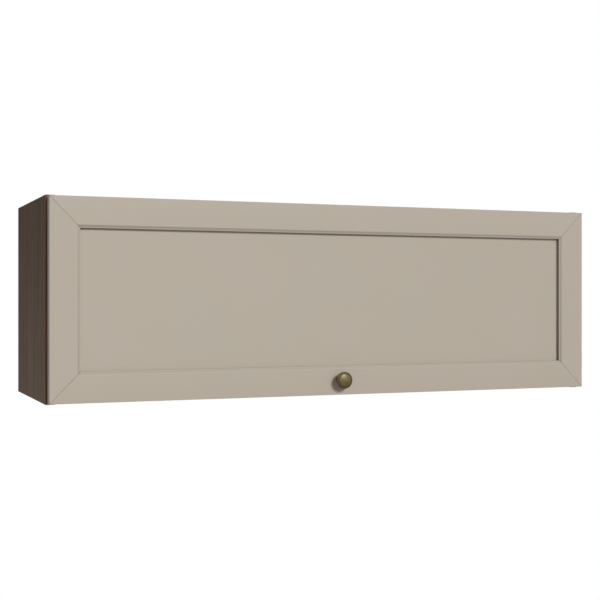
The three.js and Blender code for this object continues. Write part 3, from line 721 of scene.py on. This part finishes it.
def arc(centre, radius, start, end, steps=8):
    turns = [math.radians(start + (end - start) * step / steps) for step in range(steps + 1)]
    return [(centre[0] + radius * math.cos(t), centre[1] + radius * math.sin(t)) for t in turns]


def ring(centre, radius, steps=40):
    return arc(centre, radius, 0, 360, steps)[:-1]


def quarter(start, end, steps=10):
    # leaves the first place straight across, meets the second along the axis
    turns = [math.pi / 2 * step / steps for step in range(steps + 1)]
    return [(start[0] + (end[0] - start[0]) * math.sin(t), end[1] + (start[1] - end[1]) * math.cos(t))
            for t in turns]


def cornered(corners, steps=8):
    # an outline of quarter turns, each given as its centre, radius and first direction
    return [point for centre, radius, start in corners
            for point in arc(centre, radius, start, start + 90, steps)]


def roundedBox(aReach, bReach, radius):
    (a0, a1), (b0, b1) = aReach, bReach
    left, right, low, high = a0 + radius, a1 - radius, b0 + radius, b1 - radius
    return cornered((((right, high), radius, 0), ((left, high), radius, 90), ((left, low), radius, 180),
                     ((right, low), radius, 270)))


def bar(start, end, startRadius, endRadius):
    # round ends about two centres
    heading = math.degrees(math.atan2(end[1] - start[1], end[0] - start[0]))
    splay = math.degrees(math.acos((startRadius - endRadius) / math.dist(start, end)))
    return (arc(end, endRadius, heading - splay, heading + splay, 16)
            + arc(start, startRadius, heading + splay, heading - splay + 360, 16))


def thread(first, second, start, halfPitch, count):
    # a turned thread's profile, which goes to and fro between two radii
    return [(second if turn % 2 else first, start + halfPitch * turn) for turn in range(count)]


def span(node):
    # a CAD node's box in millimetres, as its lower and upper corner
    low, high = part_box(node)
    return [v / mm for v in low], [v / mm for v in high]


def show(name, body, slot, mesh, *nodes, sharp=35):
    # a finished piece that stands for CAD nodes and rides on a body
    mesh.transform(Matrix.Scale(mm, 4))
    mesh.shade_smooth()
    mesh.set_sharp_from_angle(angle=math.radians(sharp))
    mesh.materials.clear()
    mesh.materials.append(finishes[slot])
    mesh.name = name
    piece = newObject(name, mesh)
    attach(piece, body)
    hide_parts(*nodes)


# Door frame: four mitred members, each with a soft S-shaped moulding along its inner edge

doorFrame = {
    "length": 1194.0,
    "height": 392.5,
    "thickness": 22.0,
    "moulding": (52.3, 59.8),      # start and end from the outer edge
    "slope": (0.45, 34.0, 19.0),   # share where it is steepest, degrees there and at its end
    "frontEase": 1.1,
    "rearEase": 3.0,
    "innerEase": 0.5,
    "groove": (10.9, 18.2, 7.0),   # front, rear and depth of the panel's groove
    "stiles": (0.979, 0.998),      # left and right stile's width, as shares of the rails'
    "mitre": (0.3, 0.5, 0.3),      # gap, then width and depth of its eased edge
    "cupBores": (17.8, 13.3, -20.5),   # radius, depth and place below the top edge
    "hinges": (-487.0, 0.0, 487.0),
    "panelRecess": 11.2,
    "panelEase": 0.4,
    "sharpFrame": 30,              # degrees from which an edge shows sharp
    "sharpPanel": 10,
}


def mouldingCurve(steps=18):
    # leaves the flat face softly, steepest in the middle, a little flatter at the panel
    start, end = doorFrame["moulding"]
    steepest, most, last = doorFrame["slope"]
    width = (end - start) / steps
    points = [(start, 0)]
    for step in range(steps):
        share = (step + 0.5) / steps
        rise = min(share / steepest, 1)
        fall = max(0, (share - steepest) / (1 - steepest))
        slope = most * rise * rise * (3 - 2 * rise) - (most - last) * fall
        points.append((points[-1][0] + width, points[-1][1] + width * math.tan(math.radians(slope))))
    return points


def frameSection():
    # u inwards from the outer edge, v back from the face
    front, rear, inward = doorFrame["frontEase"], doorFrame["rearEase"], doorFrame["innerEase"]
    thick = doorFrame["thickness"]
    inner = doorFrame["moulding"][1]
    grooveFront, grooveRear, grooveDepth = doorFrame["groove"]
    section = arc((front, front), front, 270, 180) + arc((rear, thick - rear), rear, 180, 90)
    grooveEnd = inner - grooveDepth
    section += [(inner - inward, thick), (inner, thick - inward), (inner, grooveRear),
                (grooveEnd, grooveRear), (grooveEnd, grooveFront), (inner, grooveFront)]
    return section + mouldingCurve()[::-1]


def mitredMember(length, width, leftCut, rightCut):
    # along X, its outer edge at Z = 0, its face at Y = 0; width and cuts are shares of a plain mitre's
    section = frameSection()
    gap, easeWidth, easeDepth = doorFrame["mitre"]
    visible = mouldingCurve()[-1][1] + 0.1      # only what shows from the front is eased
    shape = bmesh.new()
    rings = []
    for end, inset in ((-1, 0), (-1, easeWidth), (1, easeWidth), (1, 0)):
        sunk = 0 if inset else easeDepth
        cut = leftCut if end < 0 else rightCut
        reach = length / 2 - gap * math.sqrt(0.5) - inset
        places = [(end * (reach - u * cut), v + sunk if v < visible else v, -u * width)
                  for u, v in section]
        rings.append([shape.verts.new(place) for place in places])
    for first, second in zip(rings, rings[1:]):
        for i in range(len(section)):
            j = (i + 1) % len(section)
            shape.faces.new((first[i], first[j], second[j], second[i]))
    shape.faces.new(rings[0])
    shape.faces.new(rings[3])
    bmesh.ops.recalc_face_normals(shape, faces=shape.faces[:])
    return meshFrom(shape, "member")


def makeDoorFrame():
    low, high = span("door_top_rail")
    face, top = low[1], high[2]
    bottom = span("door_bottom_rail")[0][2]
    middle = (top + bottom) / 2
    length, height, thick = doorFrame["length"], doorFrame["height"], doorFrame["thickness"]
    radius, depth, drop = doorFrame["cupBores"]
    reach = depth + 1       # a little beyond the rear face
    bore = [(0, 0), (radius, 0), (radius, reach), (0, reach)]
    bores = [turned(bore, (0, 1, 0), (x, thick - depth, drop)) for x in doorFrame["hinges"]]
    left, right = doorFrame["stiles"]
    members = {         # mesh, middle of its outer edge, degrees turned about Y
        "top_rail": (carved(mitredMember(length, 1, left, right), *bores), (0, face, top), 0),
        "bottom_rail": (mitredMember(length, 1, right, left), (0, face, bottom), 180),
        "left_stile": (mitredMember(height, left, 1, 1), (-length / 2, face, middle), -90),
        "right_stile": (mitredMember(height, right, 1, 1), (length / 2, face, middle), 90),
    }
    for name, (mesh, place, angle) in members.items():
        mesh.transform(Matrix.Translation(place) @ Matrix.Rotation(math.radians(angle), 4, "Y"))
        show(name, "door", "door_lacquer", mesh, "door_" + name, sharp=doorFrame["sharpFrame"])
    panelLow, panelHigh = span("door_centre_panel")
    panelLow[1] = face + doorFrame["panelRecess"]
    panel = block(panelLow, panelHigh, doorFrame["panelEase"])
    show("centrePanel", "door", "door_lacquer", panel, "door_centre_panel", sharp=doorFrame["sharpPanel"])


makeDoorFrame()
print("door frame made")

# Knob: a turned stem with its foot, and a domed head with a sloping ring; pairs are radius and height

knob = {
    "drop": 0.5,               # its axis lies this far below the screw's
    "foot": ((0, 0), (10.8, 0), (11.0, 0.25), (11.0, 0.95)),
    "footTop": (10.75, 1.2),
    "neck": (5.8, 5.5),
    "seam": (6.8, 13.0),       # where stem and head meet
    "flare": 1.0,              # of the neck below the seam
    "rim": (17.4, 17.4),       # the straight edge starts here
    "rimEase": (16.8, 19.2, 0.6, 60),  # centre, radius and degrees of its upper corner
    "groove": ((14.25, 22.25), (13.9, 22.35), (13.7, 22.2), (13.4, 21.9), (13.0, 22.2)),
    "dome": (12.9, 23.0, 25.0, 12),    # radius, height at its edge and at its top, steps
    "steps": 96,
    "sharpHead": 50,
}


def makeKnob():
    low, high = span("knob_stem")
    place = (0, high[1], (low[2] + high[2]) / 2 - knob["drop"])
    outward = (0, -1, 0)
    seamRadius, seam = knob["seam"]
    neck, flare = knob["neck"][0], knob["flare"]
    stem = [*knob["foot"], *quarter(knob["footTop"], knob["neck"]), (neck, seam - 2 * flare),
            (neck + flare / 2, seam - flare / 2), (seamRadius, seam), (0, seam)]
    show("knobStem", "door", "antique_brass", turned(stem, outward, place, knob["steps"]), "knob_stem")
    x, y, ease, turn = knob["rimEase"]
    dome, domeEdge, domeTop, steps = knob["dome"]
    head = [(0, seam), *quarter(knob["seam"], knob["rim"], 14), *arc((x, y), ease, 0, turn, 4),
            *knob["groove"]]
    for step in range(steps + 1):
        share = 1 - step / steps
        head.append((dome * share, domeTop - (domeTop - domeEdge) * share ** 2))
    show("knobHead", "door", "antique_brass", turned(head, outward, place, knob["steps"]), "knob_head",
         sharp=knob["sharpHead"])


makeKnob()
print("knob made")

# Screw heads: one cross-slotted pattern for all, one high and one in radius

crossHead = {
    "profile": ((0, -0.30), (1, -0.30), (1, 0.25), (0.96, 0.55), (0.82, 0.85), (0.55, 1.0), (0, 1.0)),
    "slot": (0.78, 0.16, 0.35),    # half length, half width and floor
    "slotEdge": 0.03,
    "turn": 28,                    # degrees
}


def crossOf(reach, half, floor, edge):
    # two crossing bars, to cut a cross slot with
    top = 2
    return [block((-reach, -half, floor), (reach, half, top), edge, 1),
            block((-half, -reach, floor), (half, reach, top), edge, 1)]


headPattern = carved(turned(crossHead["profile"], (0, 0, 1), (0, 0, 0), steps=32),
                     *crossOf(*crossHead["slot"], crossHead["slotEdge"]))


def screwHeads(places, direction, radius, height):
    turn = Matrix.Rotation(math.radians(crossHead["turn"]), 4, "Z")
    size = Matrix.Diagonal((radius, radius, height, 1))
    return [moved(headPattern, facing(direction, place) @ turn @ size) for place in places]


knobScrew = {
    "head": (4.0, 2.0),        # radius, height
    "thread": (2.0, 1.5, 0.4, 0.4, 23),     # outer and core radius, start, half its pitch, count
    "shank": (2.0, 9.6),       # radius, where it starts
}


def makeKnobScrew():
    low, high = span("knob_screw")
    x, z = (low[0] + high[0]) / 2, (low[2] + high[2]) / 2
    radius, height = knobScrew["head"]
    seat = high[1] - height
    shank, shankStart = knobScrew["shank"]
    profile = [(0, 0), *thread(*knobScrew["thread"]), (shank, shankStart), (shank, seat - low[1]),
               (0, seat - low[1])]
    mesh = together(turned(profile, (0, 1, 0), (x, low[1], z), steps=24),
                    *screwHeads([(x, seat, z)], (0, 1, 0), radius, height))
    show("knobScrew", "door", "zinc_steel", mesh, "knob_screw")


makeKnobScrew()
print("knob screw made")

bumper = {
    "straight": 0.4,           # share of its height
    "crown": (0.3, 0.6, 0.9, 1.2, 1.4),     # places on its crown, in radians
}


def makeBumpers():
    straight = bumper["straight"]
    for name in ("left_bumper", "right_bumper"):
        low, high = span(name)
        radius, height = (high[0] - low[0]) / 2, high[1] - low[1]
        crown = [(radius * math.cos(t), height * (straight + (1 - straight) * math.sin(t)))
                 for t in bumper["crown"]]
        profile = [(0, 0), (radius, 0), (radius, height * straight), *crown, (0, height)]
        mesh = turned(profile, (0, 1, 0), ((low[0] + high[0]) / 2, low[1], (low[2] + high[2]) / 2))
        show(name + "Dome", "door", "clear_rubber", mesh, name)


makeBumpers()
print("bumpers made")

# Hinges: cup with a rolled lip and eared flange, goose-neck arm, mounting plate

hinge = {
    "sides": ("left", "middle", "right"),
    "centre": 36.25,           # Z of the cup's middle
    "pin": (-361.5, 48.806),   # Y, Z
    "screw": (3.6, 1.2),       # radius and height of the arm's and the plate's
}

hingeCup = {
    "cup": (17.5, 16.6, 13.0),          # outer and inner radius, depth
    "foot": ((-1.2, 0), (-0.3, 0.35), (0, 1.2)),                # from the outer radius
    "lip": ((0, 0.6), (-0.2, 0.95), (-0.5, 1.05), (-0.9, 0.7)),  # from the outer radius and the depth
    "floor": ((0, 2.2), (-0.4, 1.2), (-1.3, 0.9)),              # from the inner radius
    "flange": (19.0, 53.16, 1.0, 0.25),     # radius, Z where it is cut straight, thickness, ease
    "hole": 17.0,
    "ear": (23.5, -6.0, 6.5),           # centre from the middle, radius
    "screw": (24.0, -6.0, 3.6, 0.8),    # place from the middle, radius and height
    "pin": ((0, 0), (1.3, 0), (1.5, 0.2), (1.5, 18.5), (1.3, 18.7), (0, 18.7)),
}


def flangeOutline(x):
    radius, top = hingeCup["flange"][:2]
    out, drop, ear = hingeCup["ear"]
    cutAngle = math.degrees(math.asin((top - hinge["centre"]) / radius))
    upper = math.degrees(math.asin((drop + ear) / radius))
    lower = math.degrees(math.asin((drop - ear) / radius))
    half = (arc((0, 0), radius, cutAngle, upper, 10) + arc((out, drop), ear, 90, -90, 12)
            + arc((0, 0), radius, lower, -90, 10))
    loop = half + [(-a, b) for a, b in reversed(half[:-1])]
    return [(x + a, hinge["centre"] + b) for a, b in loop]


def cupProfile():
    outer, inner, depth = hingeCup["cup"]
    foot = [(outer + a, b) for a, b in hingeCup["foot"]]
    lip = [(outer + a, depth + b) for a, b in hingeCup["lip"]]
    floor = [(inner + a, b) for a, b in hingeCup["floor"]]
    return [(0, 0), *foot, (outer, depth), *lip, *floor, (0, floor[-1][1])]


def makeHingeCup(side, x):
    low, high = span(side + "_hinge_cup")
    centre = hinge["centre"]
    thick, ease = hingeCup["flange"][2:]
    out, drop, radius, height = hingeCup["screw"]
    front = high[1] - height
    pin = hingeCup["pin"]
    hole = ring((x, centre), hingeCup["hole"], steps=64)
    pieces = [
        turned(cupProfile(), (0, 1, 0), (x, low[1], centre), steps=64),
        plate([flangeOutline(x), hole], "y", (front - thick, front), ease),
        turned(pin, (1, 0, 0), (x - pin[-1][1] / 2, *hinge["pin"]), steps=20),
    ]
    places = [(x + offset, front, centre + drop) for offset in (-out, out)]
    pieces += screwHeads(places, (0, 1, 0), radius, height)
    show(side + "HingeCup", "door", "nickel_steel", together(*pieces), side + "_hinge_cup")


hingeArm = {
    "halfWidth": 9.2,
    "web": (30.2, 31.7),       # Z, lower and upper
    "wallTop": 37.5,
    "bends": (1.8, 0.6),       # outer and inner radius between web and walls
    "straight": (-347.5, -281.5),      # Y, start and end
    "ease": 0.2,
    "neckHalf": (1.6, 6.0),    # thickness and width
    "overlap": 4.0,            # how far the neck runs into the straight part
    "outerBend": (1.6, 3.6, 4.8),      # centre beyond the neck and above the web, radius
    "outerTurn": (190, 262),   # degrees, start and end
    "innerBend": 2.4,
    "eye": (2.6, 1.8),         # radius and hole
    "eyeTurn": (-50, 230),
    "screws": (-324.5, -294.5),
}


def gooseNeck():
    # seen along X: from the straight part round the board's edge to the eye at the pin
    y, z = hinge["pin"]
    low, high = hingeArm["web"]
    neck = hingeArm["neckHalf"][0]
    end = hingeArm["straight"][0] + hingeArm["overlap"]
    beyond, above, outer = hingeArm["outerBend"]
    inner = hingeArm["innerBend"]
    return (arc((y + neck + beyond, low + above), outer, *hingeArm["outerTurn"])
            + [(end, low), (end, high)] + arc((y + neck + inner, high + inner), inner, 270, 180)
            + arc((y, z), hingeArm["eye"][0], *hingeArm["eyeTurn"], 20))


def channelSection(x):
    # seen along Y: a web with two walls, open upwards
    low, high = hingeArm["web"]
    top = hingeArm["wallTop"]
    outer, inner = hingeArm["bends"]
    thick = high - low
    left, right = x - hingeArm["halfWidth"], x + hingeArm["halfWidth"]
    return (arc((left + outer, low + outer), outer, 180, 270, 6)
            + arc((right - outer, low + outer), outer, 270, 360, 6)
            + [(right, top), (right - thick, top)]
            + arc((right - thick - inner, high + inner), inner, 0, -90, 4)
            + arc((left + thick + inner, high + inner), inner, 270, 180, 4)
            + [(left + thick, top), (left, top)])


def makeHingeArm(side, x):
    half = hingeArm["neckHalf"][1]
    hole = ring(hinge["pin"], hingeArm["eye"][1], steps=24)
    pieces = [plate([gooseNeck(), hole], "x", (x - half, x + half)),
              plate([channelSection(x)], "y", hingeArm["straight"], hingeArm["ease"])]
    places = [(x, y, hingeArm["web"][0]) for y in hingeArm["screws"]]
    pieces += screwHeads(places, (0, 0, -1), *hinge["screw"])
    show(side + "HingeArm", "carcass", "nickel_steel", together(*pieces), side + "_hinge_arm")


hingePlate = {
    "block": (7.4, -336.0, -290.0, 32.0, 40.0),     # half width, Y from and to, Z from and to
    "ease": 0.6,
    "wing": (27.0, 7.0, 6.6, 38.0),     # half length, half width, corner, Z of its underside
    "screws": (-20.0, 20.0),
}


def makeHingePlate(side, x):
    half, back, front, low, high = hingePlate["block"]
    reach, width, corner, wingLow = hingePlate["wing"]
    middle = (back + front) / 2
    wing = roundedBox((x - reach, x + reach), (middle - width, middle + width), corner)
    pieces = [plate([wing], "z", (wingLow, high)),
              block((x - half, back, low), (x + half, front, high), hingePlate["ease"])]
    places = [(x + offset, middle, wingLow) for offset in hingePlate["screws"]]
    pieces += screwHeads(places, (0, 0, -1), *hinge["screw"])
    show(side + "HingePlate", "carcass", "nickel_steel", together(*pieces), side + "_hinge_plate")


for hingeSide, hingeX in zip(hinge["sides"], doorFrame["hinges"]):
    makeHingeCup(hingeSide, hingeX)
    makeHingeArm(hingeSide, hingeX)
    makeHingePlate(hingeSide, hingeX)
print("hinges made")

# Lift units: each piece is drawn for the left side and mirrored for the right.
# Layers, depths and starts are measured inwards from the side panel; pairs of places are Y and Z.

lift = {
    "wall": -582.0,            # X of the left side panel's inner face
    "leverPivot": (-281.5, -9.194),
    "leverTip": (-259.5, -119.194),
    "doorPivot": (-339.5, -61.194),
    "screw": (4.0, 1.5),       # radius and height
}


def layer(*depths):
    return [lift["wall"] + depth for depth in depths]


def liftTurned(profile, start, centre, steps=48):
    return turned(profile, (1, 0, 0), (lift["wall"] + start, *centre), steps)


def showBoth(name, body, slot, mesh):
    # the left piece and its mirror image
    for side, shape in (("left_", mesh), ("right_", moved(mesh, mirror))):
        bodyName = body if body in ("carcass", "door") else side + body
        show(camel(side + name), bodyName, slot, shape, side + name)


liftBase = {
    "plate": ((-309.5, -211.5), (-43.194, 24.806), 9.0, 2.0),   # Y and Z, corner, thickness
    "tab": (10.0, 4.0),        # reach above and below, and corner
    "screws": (16.0, 5.0),     # in from the plate's ends, out from its long edges
    "axle": ((0, 0), (4, 0), (4, 26.3), (6, 26.3), (6, 27.3), (5.6, 27.7), (2.5, 27.7), (2.1, 27.3),
             (0, 27.3)),
    "axleStart": 1.0,
}


def makeLiftBase():
    (a0, a1), (b0, b1), corner, thick = liftBase["plate"]
    tab, radius = liftBase["tab"]
    left, right, low, high = a0 + corner, a1 - corner, b0 + corner, b1 - corner
    tabLow, tabHigh = b0 - tab + radius, b1 + tab - radius
    outline = cornered((
        ((right, low), corner, -90), ((right, high), corner, 0),
        ((right - radius, tabHigh), radius, 0), ((left + radius, tabHigh), radius, 90),
        ((left, high), corner, 90), ((left, low), corner, 180),
        ((left + radius, tabLow), radius, 180), ((right - radius, tabLow), radius, 270),
    ), 6)
    pieces = [plate([outline], "x", layer(0, thick)),
              liftTurned(liftBase["axle"], liftBase["axleStart"], lift["leverPivot"], steps=40)]
    inward, outward = liftBase["screws"]
    places = [(lift["wall"] + thick, y, z) for y in (a0 + inward, a1 - inward)
              for z in (b0 - outward, b1 + outward)]
    return together(*pieces, *screwHeads(places, (1, 0, 0), *lift["screw"]))


liftCover = {
    "box": ((-306.5, -214.5), (-40.194, 21.806), 7.5, 22.0),    # Y and Z, corner, depth
    "start": 2.0,              # on the base
    "wall": 1.6,
    "ease": (1.8, 5),          # radius and rounds
    "hubHole": (10.6, 30.0),   # radius, and how deep it is cut
    "trough": (18.0, 6.0, 20.0, 4.0, 0.6),  # from the pivot, from the end, half height, corner, depth
    "cut": (1.0, 0.1),         # how far cutters reach beyond the cover, and their ease
}


def makeLiftCover():
    (a0, a1), (b0, b1), corner, depth = liftCover["box"]
    start, wall = liftCover["start"], liftCover["wall"]
    hole, holeDepth = liftCover["hubHole"]
    beyond, ease = liftCover["cut"]
    y, z = lift["leverPivot"]
    outline = roundedBox((a0, a1), (b0, b1), corner)
    inside = roundedBox((a0 + wall, a1 - wall), (b0 + wall, b1 - wall), corner - wall)
    fromPivot, fromEnd, half, troughCorner, sunk = liftCover["trough"]
    trough = roundedBox((y + fromPivot, a1 - fromEnd), (z - half, z + half), troughCorner)
    hub = [(0, 0), (hole, 0), (hole, holeDepth), (0, holeDepth)]
    return carved(plate([outline], "x", layer(start, depth), *liftCover["ease"]),
                  plate([inside], "x", layer(start - beyond, depth - wall)),
                  plate([outline], "x", layer(-beyond, start), ease),
                  liftTurned(hub, 0, (y, z)),
                  plate([trough], "x", layer(depth - sunk, depth + beyond), ease))


liftSpring = {
    "radius": 11.8,
    "wire": 1.5,               # radius
    "turns": 4,
    "gap": 0.3,                # to the base and the cover
    "steps": 36,               # in a turn
}


def makeLiftSpring():
    radius, thick, gap = liftSpring["radius"], liftSpring["wire"], liftSpring["gap"]
    y, z = lift["leverPivot"]
    low = liftCover["start"] + gap + thick
    high = liftCover["box"][3] - liftCover["wall"] - gap - thick
    steps = liftSpring["steps"] * liftSpring["turns"]
    points = []
    for step in range(steps + 1):
        angle = 2 * math.pi * step / liftSpring["steps"]
        points.append((lift["wall"] + low + (high - low) * step / steps,
                       y + radius * math.cos(angle), z + radius * math.sin(angle)))
    return wire(points, thick)


liftLever = {
    "blade": (23.0, 27.0, 13.0, 8.5),   # layer, radii at pivot and tip
    "ease": (0.5, 3),          # radius and rounds
    "tube": ((4.3, 0), (9.7, 0), (10.0, 0.3), (10.0, 19.1), (4.3, 19.1), (4.3, 0)),
    "tubeStart": 4.0,
    "stud": ((0, 0), (3, 0), (3, 4.4), (5, 4.4), (5, 5.2), (4.4, 5.7), (0, 5.7)),
    "studStart": 26.8,
}


def makeLiftLever():
    low, high, root, tip = liftLever["blade"]
    start, end = lift["leverPivot"], lift["leverTip"]
    hole = ring(start, liftLever["tube"][0][0])
    blade = plate([bar(start, end, root, tip), hole], "x", layer(low, high), *liftLever["ease"])
    return together(blade, liftTurned(liftLever["tube"], liftLever["tubeStart"], start),
                    liftTurned(liftLever["stud"], liftLever["studStart"], end, steps=32))


liftLink = {
    "layer": (27.5, 31.0),
    "radius": 7.0,
    "hole": 3.3,
    "ease": (0.4, 3),          # radius and rounds
}


def makeLiftLink():
    ends = lift["doorPivot"], lift["leverTip"]
    radius = liftLink["radius"]
    holes = [ring(end, liftLink["hole"], steps=32) for end in ends]
    return plate([bar(*ends, radius, radius), *holes], "x", layer(*liftLink["layer"]), *liftLink["ease"])


doorBracket = {
    "foot": (-352.5, 2.5, 12.0, 29.0, 1.5),     # Y, thickness, half width and height, corner
    "ear": (31.5, 34.0, 7.7, 8.0, 1.0),     # layer, radius, half height at the foot, sunk into it
    "screws": (-20.0, 20.0),
    "pin": ((0, 0), (4.1, 0), (4.5, 0.3), (4.5, 1.2), (3, 1.2), (3, 8), (0, 8)),
    "pinStart": 25.8,
}


def makeDoorBracket():
    y, z = lift["doorPivot"]
    rear, thick, halfWidth, halfHeight, corner = doorBracket["foot"]
    low, high, radius, reach, sunk = doorBracket["ear"]
    middle = lift["wall"] + (low + high) / 2
    foot = roundedBox((middle - halfWidth, middle + halfWidth), (z - halfHeight, z + halfHeight), corner)
    root = rear + sunk
    ear = [(root, z - reach), *arc((y, z), radius, -90, 90, 16), (root, z + reach)]
    pieces = [plate([foot], "y", (rear, rear + thick)), plate([ear], "x", layer(low, high)),
              liftTurned(doorBracket["pin"], doorBracket["pinStart"], (y, z), steps=32)]
    places = [(middle, rear + thick, z + offset) for offset in doorBracket["screws"]]
    return together(*pieces, *screwHeads(places, (0, 1, 0), *lift["screw"]))


showBoth("lift_base", "carcass", "zinc_steel", makeLiftBase())
showBoth("lift_cover", "carcass", "grey_plastic", makeLiftCover())
showBoth("lift_spring", "carcass", "spring_steel", makeLiftSpring())
showBoth("lift_lever", "lift_lever", "nickel_steel", makeLiftLever())
showBoth("lift_link", "lift_link", "nickel_steel", makeLiftLink())
showBoth("door_bracket", "door", "zinc_steel", makeDoorBracket())
print("lift units made")

# Corner fittings: a cross-slotted cam drawn tight on its bolt

camFitting = {
    "radius": 7.5,
    "disc": ((0, -12.5), (7.1, -12.5), (7.5, -12.1), (7.5, -0.4), (7.35, -0.12), (7.1, 0), (0, 0)),
    "slot": (4.6, 0.8, -1.6),  # half length, half width, floor
    "slotEdge": 0.1,
    "bolt": (3.0, 34.0),       # radius, and where its thread starts
    "thread": (2.3, 3.0, 34.5, 0.6, 16),    # core and outer radius, start, half its pitch, count
    "boltEnd": ((2.2, 44.6), (0, 45)),
    "boltDrop": 9.0,           # its axis below the cam's face
}


def makeCamFitting():
    # for the left side, its cam's centre at the origin and its face up
    disc = turned(camFitting["disc"], (0, 0, 1), (0, 0, 0))
    slots = crossOf(*camFitting["slot"], camFitting["slotEdge"])
    radius, end = camFitting["bolt"]
    bolt = [(0, 0), (radius, 0), (radius, end), *thread(*camFitting["thread"]), *camFitting["boltEnd"]]
    boltPlace = (0, 0, -camFitting["boltDrop"])
    return together(carved(disc, *slots), turned(bolt, (-1, 0, 0), boltPlace, steps=24))


def placeCamFittings():
    pattern = makeCamFitting()
    radius = camFitting["radius"]
    for node in [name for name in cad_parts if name.endswith("cam_fitting")]:
        low, high = span(node)
        left = low[0] < 0
        x = high[0] - radius if left else low[0] + radius
        place = Matrix.Translation((x, (low[1] + high[1]) / 2, high[2]))
        mesh = moved(pattern, place if left else place @ mirror)
        show(camel(node), "carcass", "zinc_steel", mesh, node)


placeCamFittings()
print("corner fittings made")
